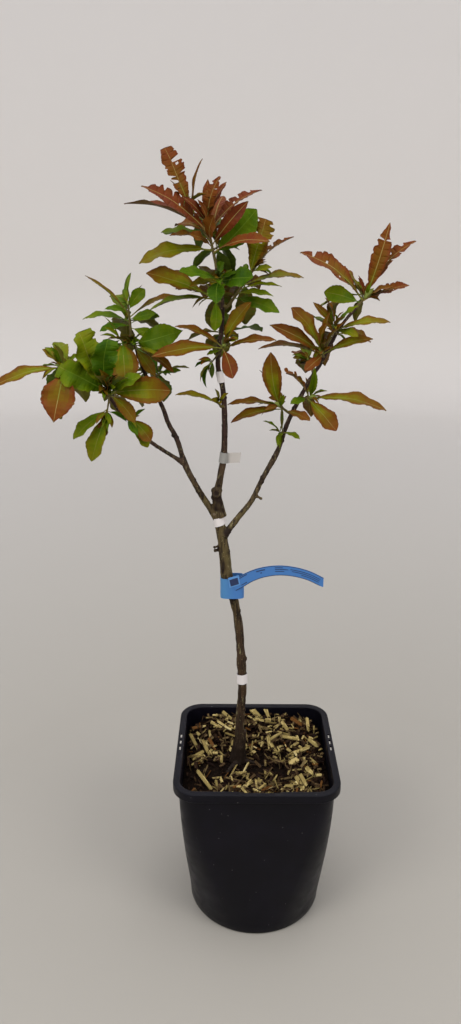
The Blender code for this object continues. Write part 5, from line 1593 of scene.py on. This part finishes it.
def chip_shape(name, number, curl, taper, bend, ribs):
    """A splinter of straw of length 1 along X: a ribbed strip, bent and split at its ends."""
    rng = random.Random(f"{SEED} chip {number}")
    along, across = 3, 5
    points, faces = [], []
    for under in (0, 1):
        for i in range(along + 1):
            x = i / along - 0.5
            for j in range(across + 1):
                v = j / across - 0.5
                ragged = rng.uniform(-0.07, 0.07) if i in (0, along) else 0.0
                y = v * (1 - taper * (i / along))
                z = curl * (0.25 - v * v) * 2 + bend * (0.25 - x * x) * 4
                z += -1.0 if under else ribs * (j % 2)
                points.append((x + ragged, y, z))
    row = across + 1
    half = row * (along + 1)
    for i in range(along):
        for j in range(across):
            a = i * row + j
            b = half + a
            faces += [(a, a + row, a + row + 1, a + 1), (b, b + 1, b + row + 1, b + row)]
    border = list(range(row)) + [i * row + across for i in range(1, along + 1)]
    border += [along * row + j for j in range(across - 1, -1, -1)]
    border += [i * row for i in range(along - 1, 0, -1)]
    for a, b in zip(border, border[1:] + border[:1]):
        faces.append((a, b, half + b, half + a))
    looks = [(0, 1.0, len(STRAW_COLOURS) - 1)] * len(faces)
    return marked(mesh_object(name, points, faces, scale=1.0), looks, [0.0] * len(faces))


chips = bpy.data.collections.new("straw_shapes")
CHIP_SHAPES = [(0.3, 0.0, 0.1, 0.5), (0.2, 0.3, 0.3, 0.4), (0.5, 0.1, 0.0, 0.6), (0.1, 0.5, 0.2, 0.4),
               (0.4, 0.0, 0.5, 0.5), (0.1, 0.15, 0.2, 0.6)]
for number, shape in enumerate(CHIP_SHAPES):
    chips.objects.link(chip_shape(f"straw_shape_{number}", number, *shape))

# %% Deal out the straw
CHIP_COUNT = 1250
FIBRE_COUNT = 700
CHIP_LEAN, LEAN_SPREAD = 0.3, 0.3
STRAW_EDGE = 85.0
REAR_FROM, REAR_RISE = 45.0, 4.0
BARE_SPOTS = [((STEM_X, STEM_Y), 15.0), ((-2.0, -16.0), 19.0), ((-28.0, -14.0), 16.0), ((-52.0, -22.0), 20.0),
              ((-78.0, -42.0), 22.0), ((-60.0, -58.0), 14.0), ((30.0, -24.0), 15.0), ((8.0, 12.0), 9.0),
              ((22.0, 5.0), 8.0), ((36.0, 3.0), 7.0), ((50.0, 5.0), 6.0), ((44.0, 32.0), 8.0),
              ((-8.0, 34.0), 6.0)]
LARGE_LEAN = 0.5
# The tone of the lowest straw is dark for rot and also as painted shade between the pieces
SHADED_LOW_TONE, PALE_HEAP, BRIGHTEST = -0.3, 5.4, 5.8
RUSTY, RUSTY_SHARE = 7.0, 0.02
# Large pieces that lie on top: place, turn in degrees, length, width, tone
LARGE_CHIPS = [
    (-61, -46, -53, 29, 4.0, 4.4), (-11, -54, 45, 16, 5.0, 4.4), (47, -8, 30, 12, 6.5, 4.6),
    (2, 84, -50, 22, 7.0, 4.4), (18, 82, -72, 18, 5.5, 4.2), (51, -51, -66, 18, 5.0, 4.0),
    (56, -47, -67, 18, 4.5, 4.0), (27, 40, 33, 18, 4.5, 4.2), (45, 37, -12, 18, 4.5, 4.4),
    (24, 16, -58, 16, 4.5, 4.0), (56, 12, 23, 24, 4.5, 4.4), (18, 25, -86, 18, 4.5, 4.2),
    (-77, 28, -63, 24, 4.0, 4.2), (-61, 15, -65, 26, 4.0, 4.0), (-54, 24, -61, 18, 4.0, 7.0),
    (0, -56, -85, 14, 2.5, 5.4), (12, -61, 23, 13, 3.0, 7.0), (56, 66, -38, 18, 5.0, 7.0),
    (70, 62, -87, 18, 4.0, 5.0), (74, 27, -43, 16, 4.5, 4.4), (-71, 4, 32, 15, 4.5, 4.2),
    (-35, 78, -42, 18, 4.5, 3.8), (11, 69, -13, 20, 4.0, 4.2), (66, -30, -50, 16, 5.0, 4.4),
    (-50, 60, -30, 16, 4.0, 4.2), (-20, 66, 40, 15, 4.0, 3.8), (40, 58, -60, 16, 4.5, 4.2)]
rng = random.Random(SEED)


def straw_place(length):
    """A place for a piece of straw inside the pot's wall, off the bare soil."""
    while True:
        spot = Vector((rng.uniform(-STRAW_EDGE, STRAW_EDGE), rng.uniform(-STRAW_EDGE, STRAW_EDGE), 0.0))
        bare = max(math.exp(-(((spot.xy - Vector(c)).length / reach) ** 4)) for c, reach in BARE_SPOTS)
        thin = 0.4 if -50.0 < spot.y < HEAP_FOOT else 0.0
        if rng.random() < max(0.95 * bare, thin):
            continue
        turn = rng.uniform(0, math.tau)
        reach = Vector((abs(math.cos(turn)), abs(math.sin(turn)))) * length / 2
        far = Vector((abs(spot.x), abs(spot.y))) + reach
        if max(far.x, far.y) > STRAW_EDGE or far.length > 104:
            continue
        return spot, turn


def straw_row(spot, turn, lean, size, lift, tone):
    """A point for one piece, propped up from behind by its lean, on top where its lift is 1."""
    level = SOIL_TOP + heap(spot.y) * 0.75 + 4.5 * lift - 1.2
    level += REAR_RISE * max(0.0, spot.y - REAR_FROM) / (STRAW_EDGE - REAR_FROM)
    basis = Matrix.Rotation(lean, 3, "X") @ Matrix.Rotation(turn, 3, "Z")
    basis = basis @ Matrix.Rotation(rng.gauss(0, 0.25), 3, "X")
    return ((spot.x, spot.y, level), tuple(basis.to_euler()), tuple(side * MM for side in size),
            rng.randrange(len(CHIP_SHAPES)), tone, 0.0)


rows = []
for number in range(CHIP_COUNT + FIBRE_COUNT):
    chip = number < CHIP_COUNT
    length = min(19.0, 4.5 + rng.expovariate(1 / 4.0)) if chip else rng.uniform(5.0, 16.0)
    width = min(4.5, 1.3 + rng.expovariate(1 / 0.9)) if chip else rng.uniform(0.5, 1.2)
    spot, turn = straw_place(length)
    lift = rng.random()
    # Pieces higher in the heap get paler tones; the dark low ones are painted shade as well as rot
    tone = SHADED_LOW_TONE + (PALE_HEAP if chip else 0.7 * PALE_HEAP) * lift ** 2.6 + rng.uniform(-0.8, 0.9)
    tone = min(tone, BRIGHTEST)
    if rng.random() < RUSTY_SHARE:
        tone = RUSTY
    lean = rng.gauss(CHIP_LEAN, LEAN_SPREAD)
    rows.append(straw_row(spot, turn, lean, (length, width, rng.uniform(0.6, 1.3)), lift, tone))
for x, y, degrees, length, width, tone in LARGE_CHIPS:
    spot = Vector((x, y, 0))
    rows.append(straw_row(spot, math.radians(degrees), LARGE_LEAN, (length, width, 1.2), 1.0, tone))
straw_tree = dealing_tree("deal straw", straw_finishes)
straw = deal("straw_chips", straw_tree, rows, chips, 2.5, 3.0, 30.0)
hand_over(straw, ("straw_mulch",))

# %% [markdown]
# ## Tape and label
# The stem was tied to a cane with white tape, and a loop label hangs round it. The tape is a
# spiral strip with an overlapped end. The label is one blue strip: a band round the stem, and a
# tongue that arches out to the right. Its face holds plain rules and one plain block, no words, and two dark lines
# along the tongue's edges that are painted shade.

# %% Tape bands
STRIP_CELLS = 4


def strip_solid(curve, widths, thickness, up=Vector((0, 0, 1))):
    """A thin closed strip along a curve, its widths along up."""
    points, rings = [], []
    for spot, way, width in zip(curve, tangents(curve), widths):
        normal = way.cross(up).normalized()
        ring = [spot + up * (k / STRIP_CELLS - 0.5) * width for k in range(STRIP_CELLS + 1)]
        back = [p - normal * thickness for p in reversed(ring)]
        rings.append(list(range(len(points), len(points) + len(ring + back))))
        points += ring + back
    return points, [tuple(reversed(rings[0]))] + bridge(rings) + [tuple(rings[-1])]


TIES = {
    # height, width, tilt, tail length, finish
    "lower_tie": (304.0, 12.0, 0.05, 0.0, tape),
    "fork_tie": (503.0, 9.5, 0.2, 0.0, tape),
    "middle_tie": (575.0, 11.5, 0.0, 15.0, thin_tape),
    "upper_tie": (662.0, 12.0, -0.05, 0.0, tape),
}
trunk = limbs["trunk"]
for name, (height, width, tilt, tail, finish) in TIES.items():
    i, t = trunk.station(height)
    centre = trunk.path[i].lerp(trunk.path[i + 1], t)
    way = (trunk.path[i + 1] - trunk.path[i]).normalized()
    low, high = trunk.station(height - width / 2)[0], trunk.station(height + width / 2)[0]
    radius = max(trunk.radii[j] for j in range(low, high + 2)) + 0.75
    across = (Vector((1, 0, 0)) - way.x * way).normalized()
    over = way.cross(across)
    turns, steps = 1.35, 64
    curve = []
    for k in range(steps + 1):
        angle = -0.3 - math.tau * turns * (1 - k / steps)
        reach = radius + 0.35 * k / steps + 0.12 * math.sin(angle * 5 + height)
        curve.append(centre + reach * (math.cos(angle) * across + math.sin(angle) * over)
                     + way * tilt * reach * math.cos(angle))
    if tail:
        leaving = (curve[-1] - curve[-2]).normalized()
        flat = (Vector((1, -0.25, 0.1)) * 1.0).normalized()
        for k in range(1, 9):
            share = k / 8
            curve.append(curve[-1] + (leaving.lerp(flat, min(1.0, share * 2.0))).normalized() * tail / 8)
    band = mesh_object(name + "_film", *strip_solid(curve, [width] * len(curve), 0.25, way), [finish])
    band.data.shade_smooth()
    band.data.set_sharp_from_angle(angle=math.radians(45))
    hand_over(band, (name,))

# %% Loop label
LABEL_HEIGHT = 423.5
LABEL_BAND = 24.0
LABEL_THICKNESS = 0.6
LABEL_HALF_X = 13.0
LABEL_HALF_Y = 9.5
LABEL_FORWARD = 1.0
LABEL_LINE = [(-27.8, 427.6), (-18.9, 432.6), (-8.6, 438.8), (4.9, 444.0), (21.8, 446.6),
              (38.7, 445.5), (56.9, 440.7), (74.7, 431.8)]
LABEL_WIDTHS = (13.5, 10.5)
LABEL_STEPS = 72


def label_strip(low, high, start, stop, depth, thick):
    """A strip along the tongue: shares of its width and length, how far in front, how thick."""
    curve = spline([(x, label_face, z) for x, z in LABEL_LINE], 8)
    first, last = int(start * (len(curve) - 1)), int(stop * (len(curve) - 1))
    ways, along = tangents(curve), shares(curve)
    points, rings = [], []
    for i in range(first, last + 1):
        over = Vector((0, 0, 1)) if along[i] == 1.0 else ways[i].cross(Vector((0, 1, 0)))
        width = LABEL_WIDTHS[0] + (LABEL_WIDTHS[1] - LABEL_WIDTHS[0]) * along[i]
        ring = []
        for out, back in ((low, -1), (low, 1), (high, 1), (high, -1)):
            ring.append(len(points))
            points.append(curve[i] + over * width / 2 * out + Vector((0, back * thick / 2 - depth, 0)))
        rings.append(ring)
    return points, [tuple(reversed(rings[0]))] + bridge(rings) + [tuple(rings[-1])]


i, t = trunk.station(LABEL_HEIGHT + LABEL_BAND / 2)
left = trunk.path[i].lerp(trunk.path[i + 1], t).x - max(trunk.radii[i:i + 2]) - GAP
i, t = trunk.station(LABEL_HEIGHT)
centre = trunk.path[i].lerp(trunk.path[i + 1], t)
middle = Vector((left + LABEL_HALF_X, centre.y - LABEL_FORWARD, LABEL_HEIGHT))
label_face = middle.y - LABEL_HALF_Y - LABEL_THICKNESS
curve = []
for k in range(LABEL_STEPS + 1):
    angle = math.tau * k / LABEL_STEPS
    c, s = math.cos(angle), math.sin(angle)
    # The roots make the oval nearly a rectangle, as a folded strip of card is
    curve.append(middle + Vector((math.copysign(abs(c) ** 0.5, c) * (LABEL_HALF_X + LABEL_THICKNESS),
                                  math.copysign(abs(s) ** 0.5, s) * (LABEL_HALF_Y + LABEL_THICKNESS), 0)))
points, faces = strip_solid(curve, [LABEL_BAND] * len(curve), LABEL_THICKNESS)
skin_points, skin = label_strip(-1.0, 1.0, 0.0, 1.0, 0.0, 1.2 * LABEL_THICKNESS)
faces += [tuple(j + len(points) for j in face) for face in skin]
points += skin_points
label = mesh_object("loop_label_card", points, faces, [label_blue])
label.data.shade_smooth()
label.data.set_sharp_from_angle(angle=math.radians(40))
hand_over(label, ("loop_label",))

# %% Plain rules on the label, and painted edge shade
# The last two rules run along both long edges of the tongue: painted shade, not print
# (from and to across the strip, from and to along it), in shares
RULES_AND_SHADED_EDGES = [(0.6, 0.76, 0.12, 0.27), (-0.64, -0.5, 0.14, 0.22), (0.36, 0.56, 0.38, 0.48),
         (-0.1, 0.08, 0.42, 0.44), (0.5, 0.64, 0.56, 0.63), (0.16, 0.3, 0.56, 0.68),
         (-0.24, -0.1, 0.56, 0.66), (0.28, 0.42, 0.7, 0.97), (-0.08, 0.06, 0.72, 0.97),
         (-0.44, -0.3, 0.82, 0.97), (0.87, 0.99, 0.01, 0.99), (-0.99, -0.87, 0.01, 0.99)]
# A pale square with a dark plain block in it, by their corners, left low first
PALE_SQUARE = [(-31.6, 425.4), (-19.4, 429.2), (-21.2, 441.0), (-33.4, 437.4)]
DARK_BLOCK = [(-30.3, 427.2), (-21.0, 430.2), (-22.6, 438.0), (-31.9, 435.0)]


def plain_block(corners, front):
    """A thin closed block between the tongue's face and a plane in front of it."""
    ring = [Vector((x, label_face - 0.5 * LABEL_THICKNESS, z)) for x, z in corners]
    points = ring + [p - Vector((0, front, 0)) for p in ring]
    faces = [(0, 3, 2, 1), (4, 5, 6, 7), (0, 1, 5, 4), (1, 2, 6, 5), (2, 3, 7, 6), (3, 0, 4, 7)]
    return points, faces


for name, finish, parts in (
        ("label_rules", label_ink_and_edge_shade, [label_strip(*rule, 0.6 * LABEL_THICKNESS + 0.04, 0.08) for rule in RULES_AND_SHADED_EDGES]
         + [plain_block(DARK_BLOCK, 0.5)]),
        ("label_square", label_pale, [plain_block(PALE_SQUARE, 0.3)])):
    points, faces = [], []
    for part_points, part_faces in parts:
        faces += [tuple(j + len(points) for j in face) for face in part_faces]
        points += part_points
    printed = mesh_object(name, points, faces, [finish])
    hand_over(printed)

# %% [markdown]
# ## Sizes
# The box that the finer pieces take up is printed in millimetres.

# %% Sizes
low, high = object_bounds()
print("visual box in mm:", [round(side / MM, 1) for side in high - low])
